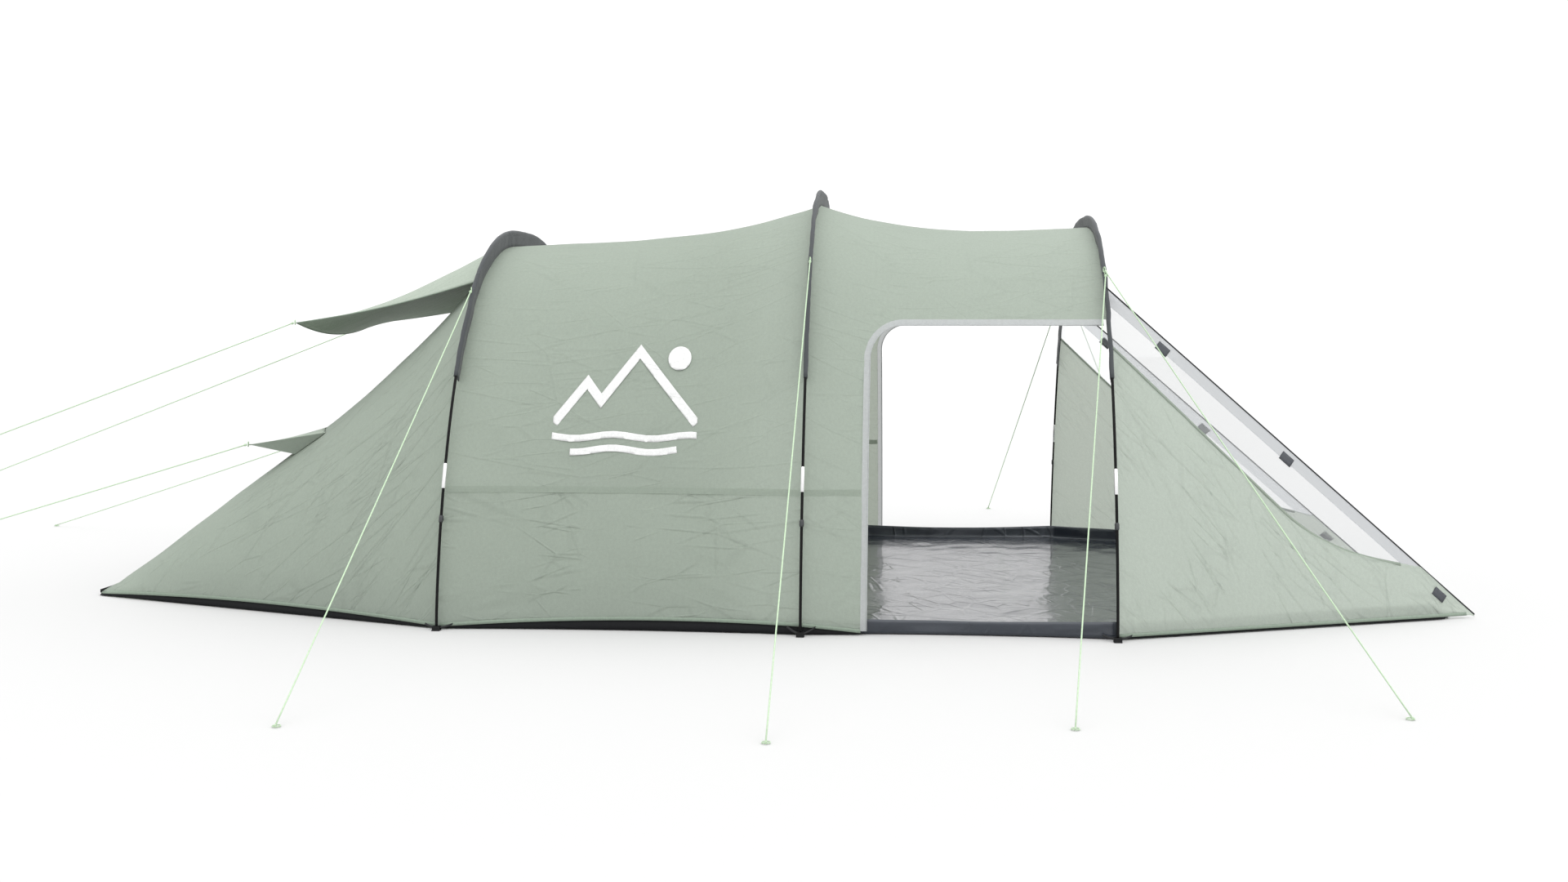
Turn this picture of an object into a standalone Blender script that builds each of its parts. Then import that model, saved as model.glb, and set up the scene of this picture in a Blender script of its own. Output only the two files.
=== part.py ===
"""Three-hoop tunnel tent with a front porch, an inner tent, rear awnings and its guy lines.

The tent lies along X with its porch at +X and is symmetric about the XZ plane.
Z = 0 is the ground that it stands on, and all sizes are in metres.
"""

import math

import bmesh
import bpy
import numpy as np
from mathutils import Vector

# ---- driving dimensions ---------------------------------------------------------------
HOOP_X = {"rear": -1.005, "middle": 0.185, "front": 1.185}
HOOP_HEIGHT = {"rear": 1.352, "middle": 1.499, "front": 1.397}  # pole axis at the crown
HOOP_HALF_WIDTH = 1.193  # pole axis at the ground
HOOP_EXPONENTS = (2.79, 1.41)  # across and up, of the superellipse that the bent rods follow
END_X = 2.445  # rear and front peg points lie this far from the middle of the tent
REAR_HALF_WIDTH = 0.680
FRONT_HALF_WIDTH = 0.683

ROD_RADIUS = 0.00475
ROD_FOOT_Z = 0.0065
FERRULE_Z = (0.455, 0.535)
FERRULE_RADIUS = 0.0066
SLEEVE_END_Z = 0.82
SLEEVE_RADIUS = 0.0080
SLEEVE_BORE = 0.0062

SKIN = 0.0040  # thickness of the stand-in for a sewn fabric panel
GAP = 0.0006  # left between neighbouring panels
HOOP_GAP = 0.0030  # left under a sleeve, between the panels on either side of it
FLY_DROP = {"rear": 0.054, "middle": 0.050, "front": 0.036}  # below the pole at the crown
FLY_HALF_WIDTH = 1.172
FLY_EXPONENTS = (2.70, 1.41)
FLY_WAIST = 0.100  # how far the sides are pulled in between two hoops, times four
# x, hem height there, and how much further the hem lifts midway to the next place
HEM_LINE = (
    (-2.445, 0.010, 0.022),
    (-1.005, 0.010, 0.016),
    (0.185, 0.030, 0.0),
    (0.375, 0.010, 0.0),
    (2.445, 0.010, 0.0),
)
SEAM_Z = 0.450

DOOR_LEFT, DOOR_TOP, DOOR_CORNER = 0.375, 1.012, 0.130
DOOR_TRIM = 0.020
DOOR_GAP = 0.0025  # left round the trim, which leans while the doorway is cut level

WING_TOP = (-0.757, 1.118)  # y and z where the wing's free edge meets the front hoop
WING_TIP_Z = 0.012
WING_SEAM = ((0.935, 0.000), (0.383, 0.580), (0.200, 0.900), (0.176, 1.060))  # z, x past the hoop
EDGE_STRIP = 0.052  # height of the pale strip along the wing's free edge

NOSE_EXPONENTS = (3.11, 2.26)  # at the rear peg line
NOSE_RISE = (1.28, -0.604, 0.709)

HOOD_TIP = (-1.770, 0.425, 1.000)
HOOD_DROOP = 0.045
HOOD_ROOT_Z = 1.150
FLAP_TIP = (-1.900, 0.570, 0.552)
FLAP_DROOP = 0.020

TRAY_WALL = 0.055
TRAY_SKIN = 0.0030

GUY_RADIUS = 0.0021
LOOP_LENGTH = 0.012  # clear distance from a sleeve to the start of its guy line

ROD_STATIONS = 40  # points along a hoop
FLY_STATIONS = 28  # points across the fly

COLLECTION = "tunnel_tent"


# ---- scene and materials --------------------------------------------------------------
def clear_scene():
    for item in list(bpy.data.objects):
        bpy.data.objects.remove(item, do_unlink=True)
    for group in list(bpy.data.collections):
        bpy.data.collections.remove(group)


def make_collection(name):
    group = bpy.data.collections.new(name)
    bpy.context.scene.collection.children.link(group)
    return group


def make_material(name, colour, roughness, metallic=0.0, alpha=1.0):
    material = bpy.data.materials.new(name)
    material.use_nodes = True
    shader = material.node_tree.nodes["Principled BSDF"]
    shader.inputs["Base Color"].default_value = (*colour, 1.0)
    shader.inputs["Roughness"].default_value = roughness
    shader.inputs["Metallic"].default_value = metallic
    shader.inputs["Alpha"].default_value = alpha
    return material


def make_materials():
    return {
        "fly": make_material("fly", (0.38, 0.45, 0.39), 0.75),
        "sleeve": make_material("sleeve", (0.10, 0.12, 0.13), 0.70),
        "rod": make_material("rod", (0.02, 0.02, 0.02), 0.35),
        "ferrule": make_material("ferrule", (0.80, 0.80, 0.80), 0.30, metallic=0.9),
        "foot": make_material("foot", (0.02, 0.02, 0.02), 0.50),
        "groundsheet": make_material("groundsheet", (0.20, 0.22, 0.25), 0.35),
        "inner_floor": make_material("inner_floor", (0.03, 0.03, 0.03), 0.60),
        "inner": make_material("inner", (0.62, 0.63, 0.60), 0.80),
        "trim": make_material("trim", (0.62, 0.64, 0.66), 0.60),
        "window": make_material("window", (0.95, 0.96, 0.97), 0.10, alpha=0.25),
        "guy": make_material("guy", (0.60, 0.90, 0.55), 0.60),
    }


# ---- shared geometry ------------------------------------------------------------------
def superellipse(half_width, height, exponents, start_z, end_z=None, count=ROD_STATIONS):
    """Points (y, z), even along the arch, from the near side at start_z over the crown.

    With end_z the run stays on the near side and ends at that height.
    """
    across, up = exponents
    angle = np.linspace(0.0, math.pi, 4001)
    y = -half_width * np.sign(np.cos(angle)) * np.abs(np.cos(angle)) ** (2 / across)
    z = height * np.abs(np.sin(angle)) ** (2 / up)
    rising = angle <= math.pi / 2
    if end_z is None:
        keep = z >= start_z
    else:
        keep = rising & (z >= start_z) & (z <= end_z)
    y, z = y[keep], z[keep]
    first, last = (start_z, start_z) if end_z is None else (start_z, end_z)
    ends = [width_at(half_width, height, exponents, value) for value in (first, last)]
    far_side = 1.0 if end_z is None else -1.0
    y = np.concatenate([[-ends[0]], y, [far_side * ends[1]]])
    z = np.concatenate([[first], z, [last]])
    length = np.concatenate([[0.0], np.cumsum(np.hypot(np.diff(y), np.diff(z)))])
    even = np.linspace(0.0, length[-1], count)
    return np.stack([np.interp(even, length, y), np.interp(even, length, z)], axis=1)


def width_at(half_width, height, exponents, z):
    across, up = exponents
    share = min(max(z / height, 0.0), 1.0)
    return half_width * (1.0 - share**up) ** (1.0 / across)


def smooth_step(low, high, value):
    share = min(max((value - low) / (high - low), 0.0), 1.0)
    return share * share * (3 - 2 * share)


def fly_section(x):
    """Half width, crest height and exponents of the fly's cross-section at x."""
    if x < HOOP_X["rear"]:
        share = (HOOP_X["rear"] - x) / (HOOP_X["rear"] + END_X)
        level, slope, bend = NOSE_RISE
        crest = HOOP_HEIGHT["rear"] - FLY_DROP["rear"] - level
        crest += (1 - share) * (level + slope * share + bend * share * share)
        crest = max(crest, 0.030)
        width = FLY_HALF_WIDTH + (REAR_HALF_WIDTH - FLY_HALF_WIDTH) * share
        pairs = zip(FLY_EXPONENTS, NOSE_EXPONENTS)
        return width, crest, tuple(a + (b - a) * share for a, b in pairs)
    if x <= HOOP_X["middle"]:
        behind, ahead, sag, lean = "rear", "middle", 0.090, 0.180
    else:
        behind, ahead, sag, lean = "middle", "front", 0.277, -0.144
    share = (x - HOOP_X[behind]) / (HOOP_X[ahead] - HOOP_X[behind])
    share = min(max(share, 0.0), 1.0)
    dip = share * (1 - share)
    start, end = (HOOP_HEIGHT[name] - FLY_DROP[name] for name in (behind, ahead))
    crest = start + (end - start) * share - dip * (sag + lean * share)
    return FLY_HALF_WIDTH - FLY_WAIST * dip, crest, FLY_EXPONENTS


def fly_half_width(x, z):
    width, crest, exponents = fly_section(x)
    return width_at(width, crest, exponents, z)


def hem_height(x):
    for (low, start, rise), (high, end, _) in zip(HEM_LINE, HEM_LINE[1:]):
        if low <= x <= high:
            share = (x - low) / (high - low)
            return start + (end - start) * share + 4 * rise * share * (1 - share)
    return HEM_LINE[0][1]


def mirrored(points):
    return [(x, -y, z) for x, y, z in points]


# ---- builders -------------------------------------------------------------------------
def add_mesh(name, points, faces, material, group):
    mesh = bpy.data.meshes.new(name)
    mesh.from_pydata([tuple(map(float, p)) for p in points], [], faces)
    mesh.validate()
    item = bpy.data.objects.new(name, mesh)
    item.data.materials.append(material)
    group.objects.link(item)
    return item


def add_sheet(name, rows, material, group, thickness=SKIN):
    """A thin panel lofted through rows of points, all rows of one length."""
    columns = len(rows[0])
    points = [point for row in rows for point in row]
    faces = []
    for r in range(len(rows) - 1):
        for c in range(columns - 1):
            corner = r * columns + c
            faces.append((corner, corner + 1, corner + columns + 1, corner + columns))
    item = add_mesh(name, points, faces, material, group)
    shell = item.modifiers.new("thickness", "SOLIDIFY")
    shell.thickness = thickness
    shell.offset = 0.0
    shell.use_even_offset = True
    return item


def add_tube(name, points, radius, material, group):
    curve = bpy.data.curves.new(name, "CURVE")
    curve.dimensions = "3D"
    curve.bevel_depth = radius
    curve.bevel_resolution = 2
    curve.use_fill_caps = True
    line = curve.splines.new("POLY")
    line.points.add(len(points) - 1)
    for spot, point in zip(line.points, points):
        spot.co = (*map(float, point), 1.0)
    item = bpy.data.objects.new(name, curve)
    item.data.materials.append(material)
    group.objects.link(item)
    return item


def add_ring_loft(name, rings, material, group):
    """A closed tube with a through hole: each ring is (outer loop, inner loop)."""
    points, faces = [], []
    outer_count, inner_count = len(rings[0][0]), len(rings[0][1])
    stride = outer_count + inner_count
    for outer, inner in rings:
        points += [*outer, *inner]
    for r in range(len(rings) - 1):
        base = r * stride
        for k in range(outer_count):
            j = (k + 1) % outer_count
            faces.append((base + k, base + j, base + stride + j, base + stride + k))
        for k in range(inner_count):
            j = (k + 1) % inner_count
            low, high = base + outer_count + k, base + outer_count + j
            faces.append((low, low + stride, high + stride, high))
    for base, flip in ((0, True), ((len(rings) - 1) * stride, False)):
        for k in range(outer_count):
            j = (k + 1) % outer_count
            a, b = base + k, base + j
            c, d = base + outer_count + j, base + outer_count + k
            faces.append((a, d, c, b) if flip else (a, b, c, d))
    return add_mesh(name, points, faces, material, group)


def recalculate(item):
    """Turns every face outwards on a closed mesh."""
    data = bmesh.new()
    data.from_mesh(item.data)
    bmesh.ops.recalc_face_normals(data, faces=data.faces)
    data.to_mesh(item.data)
    data.free()


# ---- hoops ----------------------------------------------------------------------------
def hoop_line(name, start_z, end_z=None, count=ROD_STATIONS):
    x = HOOP_X[name]
    run = superellipse(HOOP_HALF_WIDTH, HOOP_HEIGHT[name], HOOP_EXPONENTS, start_z, end_z, count)
    return [(x, y, z) for y, z in run]


def build_rods(name, materials, group):
    """The rods of one hoop: an arch in the sleeve, and a leg each side joined by ferrules."""
    low, high = FERRULE_Z
    middle = (low + high) / 2
    bottom = hoop_line(name, low, low + 0.001, 2)[0]
    top = hoop_line(name, high, high + 0.001, 2)[0]
    x, half = bottom[0], 0.5 * (bottom[1] + top[1])
    arch = hoop_line(name, high)
    start = (x, half, middle + GAP / 2)
    add_tube(f"rod_{name}_arch", [start, *arch, *mirrored([start])], ROD_RADIUS, materials["rod"], group)
    leg = hoop_line(name, ROD_FOOT_Z, low, 9) + [(x, half, middle - GAP / 2)]
    for side, points in (("near", leg), ("far", mirrored(leg))):
        add_tube(f"rod_{name}_leg_{side}", points, ROD_RADIUS, materials["rod"], group)
    axis = Vector(top) - Vector(bottom)
    tilt = math.atan2(axis.y, axis.z)
    for side, sign in (("near", 1), ("far", -1)):
        along_rod = Vector((0, sign * math.sin(tilt), math.cos(tilt)))
        rings = []
        for share in (-0.5, 0.5):
            centre = Vector((x, sign * half, middle)) + along_rod * share * axis.length
            loops = []
            for radius in (FERRULE_RADIUS, ROD_RADIUS + 0.0004):
                loop = []
                for k in range(16):
                    angle = 2 * math.pi * k / 16
                    along = radius * math.sin(angle)
                    loop.append(
                        (
                            centre.x + radius * math.cos(angle),
                            centre.y + along * math.cos(tilt),
                            centre.z - sign * along * math.sin(tilt),
                        )
                    )
                loops.append(loop)
            rings.append(tuple(loops))
        recalculate(add_ring_loft(f"ferrule_{name}_{side}", rings, materials["ferrule"], group))


def build_sleeve(name, materials, group):
    """A pole sleeve: a fin of fabric that stands on the fly and holds the rod in its outer edge."""
    x = HOOP_X[name]
    pole = [(y, z) for _, y, z in hoop_line(name, FERRULE_Z[1]) if z >= SLEEVE_END_Z]
    width, crest, exponents = fly_section(x)
    arc = superellipse(width + SKIN, crest + SKIN, exponents, 0.60, None, 400)
    rings = []
    for k, (y, z) in enumerate(pole):
        before, after = pole[max(k - 1, 0)], pole[min(k + 1, len(pole) - 1)]
        run = np.array([after[0] - before[0], after[1] - before[1]])
        run = run / np.linalg.norm(run)
        inward = np.array([run[1], -run[0]])
        reach = np.linalg.norm(arc - np.array([y, z]), axis=1).min()
        depth = max(reach - 0.004, SLEEVE_RADIUS + 0.004)
        outer = []
        for turn in range(5):
            angle = math.pi * turn / 4
            outer.append((SLEEVE_RADIUS * math.cos(angle), -SLEEVE_RADIUS * math.sin(angle)))
        outer += [(-0.0016, depth), (0.0016, depth)]
        inner = []
        for turn in range(8):
            angle = 2 * math.pi * turn / 8
            inner.append((SLEEVE_BORE * math.cos(angle), -SLEEVE_BORE * math.sin(angle)))
        loops = []
        for loop in (outer, inner):
            loops.append([(x + u, y + inward[0] * v, z + inward[1] * v) for u, v in loop])
        rings.append(tuple(loops))
    return rings


def fill_sleeve(name, rings, materials, group):
    """The sleeve's ends join seven outer points to eight inner ones, so they are made by hand."""
    points, faces = [], []
    outer_count, inner_count = len(rings[0][0]), len(rings[0][1])
    stride = outer_count + inner_count
    for outer, inner in rings:
        points += [*outer, *inner]
    for r in range(len(rings) - 1):
        base = r * stride
        for first, count in ((0, outer_count), (outer_count, inner_count)):
            for k in range(count):
                j = (k + 1) % count
                low, high = base + first + k, base + first + j
                faces.append((low, high, high + stride, low + stride))
    for base in (0, (len(rings) - 1) * stride):
        inside = base + outer_count
        for k in range(4):
            faces.append((base + k, base + k + 1, inside + k + 1, inside + k))
        faces.append((base + 4, base + 5, inside + 5, inside + 4))
        faces.append((base + 5, base + 6, inside + 6, inside + 5))
        faces.append((base + 6, base, inside, inside + 7, inside + 6))
    item = add_mesh(f"sleeve_{name}", points, faces, materials["sleeve"], group)
    recalculate(item)
    return item


def build_foot(name, side, materials, group):
    """A moulded foot: a ground plate with two cheeks that the rod's end stands between."""
    sign = -1 if side == "near" else 1
    x, y = HOOP_X[name], sign * HOOP_HALF_WIDTH
    half_length, half_width, plate, cheek, inside = 0.013, 0.0125, 0.0035, 0.0024, 0.0062
    top = 0.015
    outline = [
        (-half_width, 0.0),
        (half_width, 0.0),
        (half_width, plate),
        (inside + cheek, plate),
        (inside + cheek, top),
        (inside, top),
        (inside, plate),
        (-inside, plate),
        (-inside, top),
        (-inside - cheek, top),
        (-inside - cheek, plate),
        (-half_width, plate),
    ]
    points = [(x + end, y + u, v) for end in (-half_length, half_length) for u, v in outline]
    count = len(outline)
    faces = [tuple(range(count)), tuple(range(count, 2 * count))]
    for k in range(count):
        j = (k + 1) % count
        faces.append((k, j, count + j, count + k))
    item = add_mesh(f"foot_{name}_{side}", points, faces, materials["foot"], group)
    recalculate(item)
    edge = item.modifiers.new("rounding", "BEVEL")
    edge.width = 0.0006
    edge.segments = 1
    return item


# ---- fly ------------------------------------------------------------------------------
def fly_rows(stations, low, high=None, count=FLY_STATIONS):
    """Rows of fly points at the given x stations: over the roof, or up one side to high."""
    rows = []
    for x in stations:
        width, crest, exponents = fly_section(x)
        start = low if low is not None else hem_height(x)
        start = min(start, crest * 0.5)
        run = superellipse(width, crest, exponents, start, high, count)
        rows.append([(x, y, z) for y, z in run])
    return rows


def build_rear_bay(materials, group):
    low, high = HOOP_X["rear"] + HOOP_GAP / 2, HOOP_X["middle"] - HOOP_GAP / 2
    stations = np.linspace(low, high, 8)
    add_sheet("fly_rear_roof", fly_rows(stations, SEAM_Z + GAP), materials["fly"], group)
    near = fly_rows(stations, None, SEAM_Z, 5)
    add_sheet("fly_rear_side_near", near, materials["fly"], group)
    add_sheet("fly_rear_side_far", [mirrored(row) for row in near], materials["fly"], group)


def door_outline(inset):
    """The doorway's edge as (x, z): up its left side, round the corner, along its top."""
    left, top = DOOR_LEFT + inset, DOOR_TOP - inset
    radius = DOOR_CORNER - inset
    points = [(left, 0.0), (left, 0.35), (left, top - radius)]
    for turn in range(1, 7):
        angle = math.pi / 2 * turn / 6
        across, up = radius * math.cos(angle), radius * math.sin(angle)
        points.append((left + radius - across, top - radius + up))
    points.append((0.5 * (points[-1][0] + HOOP_X["front"]), top))
    points.append((HOOP_X["front"] - 0.014, top))
    return points


def build_front_bay(materials, group, cutters):
    low, high = HOOP_X["middle"] + HOOP_GAP / 2, HOOP_X["front"] - HOOP_GAP / 2
    stations = np.linspace(low, high, 8)
    bay = add_sheet("fly_front_bay", fly_rows(stations, None, None, 40), materials["fly"], group)
    hole = door_outline(-DOOR_GAP)[1:-1]
    past, below = HOOP_X["front"] + 0.10, -0.10
    outline = [(hole[0][0], below), *hole, (past, DOOR_TOP + DOOR_GAP), (past, below)]
    count, reach = len(outline), 1.6
    points = [(x, y, z) for y in (-reach, reach) for x, z in outline]
    faces = [tuple(range(count)), tuple(range(count, 2 * count))]
    for k in range(count):
        j = (k + 1) % count
        faces.append((k, j, count + j, count + k))
    cutter = add_mesh("doorway_cutter", points, faces, materials["trim"], cutters)
    recalculate(cutter)
    cutter.hide_render = True
    cutter.display_type = "WIRE"
    cut = bay.modifiers.new("doorways", "BOOLEAN")
    cut.operation = "DIFFERENCE"
    cut.solver = "EXACT"
    cut.object = cutter


def build_door_trims(materials, group):
    outer, inner = door_outline(0.0), door_outline(DOOR_TRIM)
    rows = []
    for edge in (outer, inner):
        spots = [(x, max(z, hem_height(x))) for x, z in edge]
        rows.append([(x, -fly_half_width(x, z), z) for x, z in spots])
    add_sheet("door_trim_near", rows, materials["trim"], group)
    add_sheet("door_trim_far", [mirrored(row) for row in rows], materials["trim"], group)


def build_nose(materials, group):
    start = HOOP_X["rear"] - HOOP_GAP / 2
    stations = start - (start + END_X) * np.linspace(0, 1, 11)
    rows = fly_rows(stations, None)
    add_sheet("fly_nose", rows, materials["fly"], group)


# ---- rear awnings ---------------------------------------------------------------------
def build_hood(materials, group):
    """The upper awning, from the rear hoop's sleeve to two guyed tips."""
    x_root = HOOP_X["rear"] - 0.012
    width, crest, exponents = fly_section(HOOP_X["rear"])
    root = superellipse(width + 0.016, crest + 0.016, exponents, HOOD_ROOT_Z, None, 17)
    tip_x, tip_y, tip_z = HOOD_TIP
    rows = []
    for share in np.linspace(0, 1, 6):
        row = []
        for k, (y, z) in enumerate(root):
            across = 2 * k / (len(root) - 1) - 1
            end = (tip_x, tip_y * across, tip_z - HOOD_DROOP * (1 - across * across))
            sag = 0.016 * math.sin(math.pi * share)
            row.append(
                (
                    x_root + (end[0] - x_root) * share,
                    y + (end[1] - y) * share,
                    z + (end[2] - z) * share - sag,
                )
            )
        rows.append(row)
    add_sheet("hood_upper", rows, materials["fly"], group, 0.003)


def nose_point(x, y):
    """The nose's outer surface above (x, y)."""
    width, crest, (across, up) = fly_section(x)
    share = min(abs(y) / width, 1.0)
    return crest * (1 - share**across) ** (1 / up)


def build_flap(materials, group):
    """The low rear flap: from a seam across the nose to two guyed tips."""
    tip_x, tip_y, tip_z = FLAP_TIP
    rows = []
    for share in np.linspace(0, 1, 5):
        row = []
        for across in np.linspace(-1, 1, 13):
            root_x = -1.615 - 0.125 * (1 - across * across)
            y = 0.56 * across
            root = (root_x, y, nose_point(root_x, y) + 0.012)
            end = (tip_x, tip_y * across, tip_z - FLAP_DROOP * (1 - across * across))
            row.append(tuple(a + (b - a) * share for a, b in zip(root, end)))
        rows.append(row)
    add_sheet("vent_flap_lower", rows, materials["fly"], group, 0.003)


# ---- porch ----------------------------------------------------------------------------
def wing_edge(z):
    """The free front edge of the near wing at height z."""
    top_y, top_z = WING_TOP
    share = (z - WING_TIP_Z) / (top_z - WING_TIP_Z)
    x = END_X + (HOOP_X["front"] - END_X) * share
    return x, -FRONT_HALF_WIDTH + (top_y + FRONT_HALF_WIDTH) * share


def wing_point(x, z):
    """The near wing's surface: ruled from the front hoop to the free edge."""
    edge_x, edge_y = wing_edge(z)
    hoop_x = HOOP_X["front"]
    share = min(max((x - hoop_x) / max(edge_x - hoop_x, 1e-6), 0.0), 1.0)
    rear = -fly_half_width(hoop_x, z)
    return (x, rear + (edge_y - rear) * share, z)


def wing_edge_height(x):
    share = (END_X - x) / (END_X - HOOP_X["front"])
    return WING_TIP_Z + (WING_TOP[1] - WING_TIP_Z) * share


def wing_seam_height(x):
    """Top of the fabric part of the wing: a straight fall that curves out to the free edge."""
    (z0, x0), (z1, x1), (z2, x2), (z3, x3) = WING_SEAM
    past = x - HOOP_X["front"]
    if past <= x1:
        return z0 + (z1 - z0) * past / x1
    steep = (z1 - z0) / x1
    share = min((past - x1) / (x3 - x1), 1.0)
    level = z1 + steep * (x3 - x1) * (share - share**2 / 2 - share * share * (1 - share) * 0.35)
    settle = z1 + steep * (x3 - x1) * 0.5
    return level + (z3 - settle) * share * share


def build_wing(materials, group):
    start = HOOP_X["front"] + HOOP_GAP / 2
    seam_end = END_X - (WING_SEAM[3][0] - WING_TIP_Z) / (WING_TOP[1] - WING_TIP_Z) * (
        END_X - HOOP_X["front"]
    )
    stations = [*np.linspace(start, seam_end, 13), 2.31, 2.38, END_X]
    rows = []
    for x in stations:
        top = min(wing_seam_height(x), wing_edge_height(x)) if x < seam_end else wing_edge_height(x)
        base = min(hem_height(x), 0.4 * top)
        rows.append([wing_point(x, base + (top - base) * share) for share in np.linspace(0, 1, 6)])
    add_sheet("wing_near", rows, materials["fly"], group)
    add_sheet("wing_far", [mirrored(row) for row in rows], materials["fly"], group)

    heights = np.linspace(WING_SEAM[3][0] + 0.008, WING_TOP[1] - 0.016, 8)
    strip = [[], []]
    for z in heights:
        x, _ = wing_edge(z)
        strip[0].append(wing_point(x, z))
        strip[1].append(wing_point(x, max(z - EDGE_STRIP, wing_seam_height(x) + 0.004)))
    window = []
    film_end = HOOP_X["front"] + 0.960
    for x in np.linspace(start + 0.001, film_end, 10):
        low = wing_seam_height(x) + 0.006
        high = wing_edge_height(x) - EDGE_STRIP - 0.006
        high = max(high, low + 0.006)
        window.append([wing_point(x, low + (high - low) * share) for share in (0.0, 0.5, 1.0)])
    for side, turn in (("near", list), ("far", mirrored)):
        add_sheet(f"edge_strip_{side}", [turn(row) for row in strip], materials["trim"], group)
        add_sheet(f"window_{side}", [turn(row) for row in window], materials["window"], group, 0.003)


# ---- floors and inner tent ------------------------------------------------------------
def tray_rows(stations, inset, wall):
    """U-shaped sections of a tray groundsheet, its walls turned up along both sides."""
    rows = []
    for x in stations:
        if x <= HOOP_X["front"]:
            half = fly_half_width(x, 0.03) - inset
        else:
            half = -wing_point(x, 0.03)[1] - inset
        rise = wall(x)
        base = TRAY_SKIN / 2
        rows.append(
            [
                (x, -half, base + rise),
                (x, -half, base),
                (x, -half / 3, base),
                (x, half / 3, base),
                (x, half, base),
                (x, half, base + rise),
            ]
        )
    return rows


def build_floors(materials, group):
    def front_wall(x):
        return TRAY_WALL * (1 - 0.9 * smooth_step(2.28, 2.36, x)) - 0.010 * math.sin(
            math.pi * (x - 0.185) / 1.0
        ) * (0.185 < x < 1.185)

    stations = [0.060, 0.185, 0.40, 0.70, 0.95, 1.185, 1.50, 1.85, 2.15, 2.28, 2.36]
    rows = tray_rows(stations, 0.016, front_wall)
    add_sheet("groundsheet", rows, materials["groundsheet"], group, TRAY_SKIN)

    def rear_wall(x):
        return TRAY_WALL * (1 - 0.8 * smooth_step(-2.00, -2.25, x))

    stations = [0.050, -0.20, -0.60, -1.005, -1.30, -1.65, -2.00, -2.25]
    rows = tray_rows(stations, 0.016, rear_wall)
    add_sheet("inner_floor", rows, materials["inner_floor"], group, TRAY_SKIN)


def inner_section(x):
    width, crest, exponents = fly_section(x)
    return width - 0.075, crest - 0.085, exponents


def build_inner(materials, group):
    """The bedroom: a breathable tunnel hung under the fly, and its front wall with a doorway."""
    front = 0.040
    rows = []
    for x in [front, -0.20, -0.50, -0.80, -1.005, -1.25, -1.50, -1.75, -1.95]:
        width, crest, exponents = inner_section(x)
        run = superellipse(width, max(crest, 0.13), exponents, 0.075, None, 26)
        rows.append([(x, y, z) for y, z in run])
    add_sheet("inner_tunnel", rows, materials["inner"], group, 0.003)

    width, crest, exponents = inner_section(front)
    arch = superellipse(width + 0.001, crest + 0.001, exponents, 0.075, None, 26)
    curve = bpy.data.curves.new("inner_front_wall", "CURVE")
    curve.dimensions = "2D"
    curve.fill_mode = "BOTH"
    curve.extrude = 0.0015
    doorway = [(-0.36, 0.14), (0.36, 0.14)]
    for turn in range(9):
        angle = math.pi * turn / 8
        doorway.append((0.36 * math.cos(angle), 0.80 + 0.30 * math.sin(angle)))
    for outline in (arch, doorway):
        line = curve.splines.new("POLY")
        line.points.add(len(outline) - 1)
        line.use_cyclic_u = True
        for spot, (y, z) in zip(line.points, outline):
            spot.co = (y, z, 0.0, 1.0)
    wall = bpy.data.objects.new("inner_front_wall", curve)
    wall.rotation_euler = (math.pi / 2, 0.0, math.pi / 2)
    wall.location = (front + 0.0022 + 0.0015, 0.0, 0.0)
    curve.materials.append(materials["inner"])
    group.objects.link(wall)

    roll = []
    for y in np.linspace(-0.36, 0.36, 7):
        roll.append((front + 0.034, y, 0.112 - 0.006 * math.cos(math.pi * y / 0.72)))
    add_tube("inner_door_roll", roll, 0.024, materials["inner"], group)


# ---- guy lines ------------------------------------------------------------------------
def guy_route(start, end, sag):
    """Points of a taut line: straight but for a slight sag, with its foot flat on the ground."""
    a, b = Vector(start), Vector(end)
    points = []
    for share in np.linspace(0, 1, 7):
        spot = a.lerp(b, share)
        spot.z -= 4 * sag * share * (1 - share)
        spot.z = max(spot.z, GUY_RADIUS + 0.0010)
        points.append(tuple(spot))
    return points


def sleeve_spot(name, z):
    """A point just outside the sleeve at height z on the near side."""
    x = HOOP_X[name]
    y = -width_at(HOOP_HALF_WIDTH, HOOP_HEIGHT[name], HOOP_EXPONENTS, z)
    out = LOOP_LENGTH + SLEEVE_RADIUS
    return (x, y - out * 0.75, z + out * 0.55)


def build_guys(materials, group):
    ground = GUY_RADIUS + 0.0010
    tip_x, tip_y, tip_z = HOOD_TIP
    low_x, low_y, low_z = FLAP_TIP
    lines = {
        "guy_rear": (sleeve_spot("rear", 1.100), (-1.028, -2.403, ground)),
        "guy_middle": (sleeve_spot("middle", 1.200), (0.197, -2.448, ground)),
        "guy_front_back": (sleeve_spot("front", 1.150), (0.943, -2.262, ground)),
        "guy_front_ahead": (sleeve_spot("front", 1.165), (1.802, -2.090, ground)),
        "guy_hood": ((tip_x - 0.012, -tip_y, tip_z), (-4.477, -0.591, ground)),
        "guy_flap": ((low_x - 0.012, -low_y, low_z), (-3.680, -1.150, ground)),
    }
    for name, (start, end) in lines.items():
        near = guy_route(start, end, 0.004)
        add_tube(f"{name}_near", near, GUY_RADIUS, materials["guy"], group)
        add_tube(f"{name}_far", mirrored(near), GUY_RADIUS, materials["guy"], group)


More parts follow.
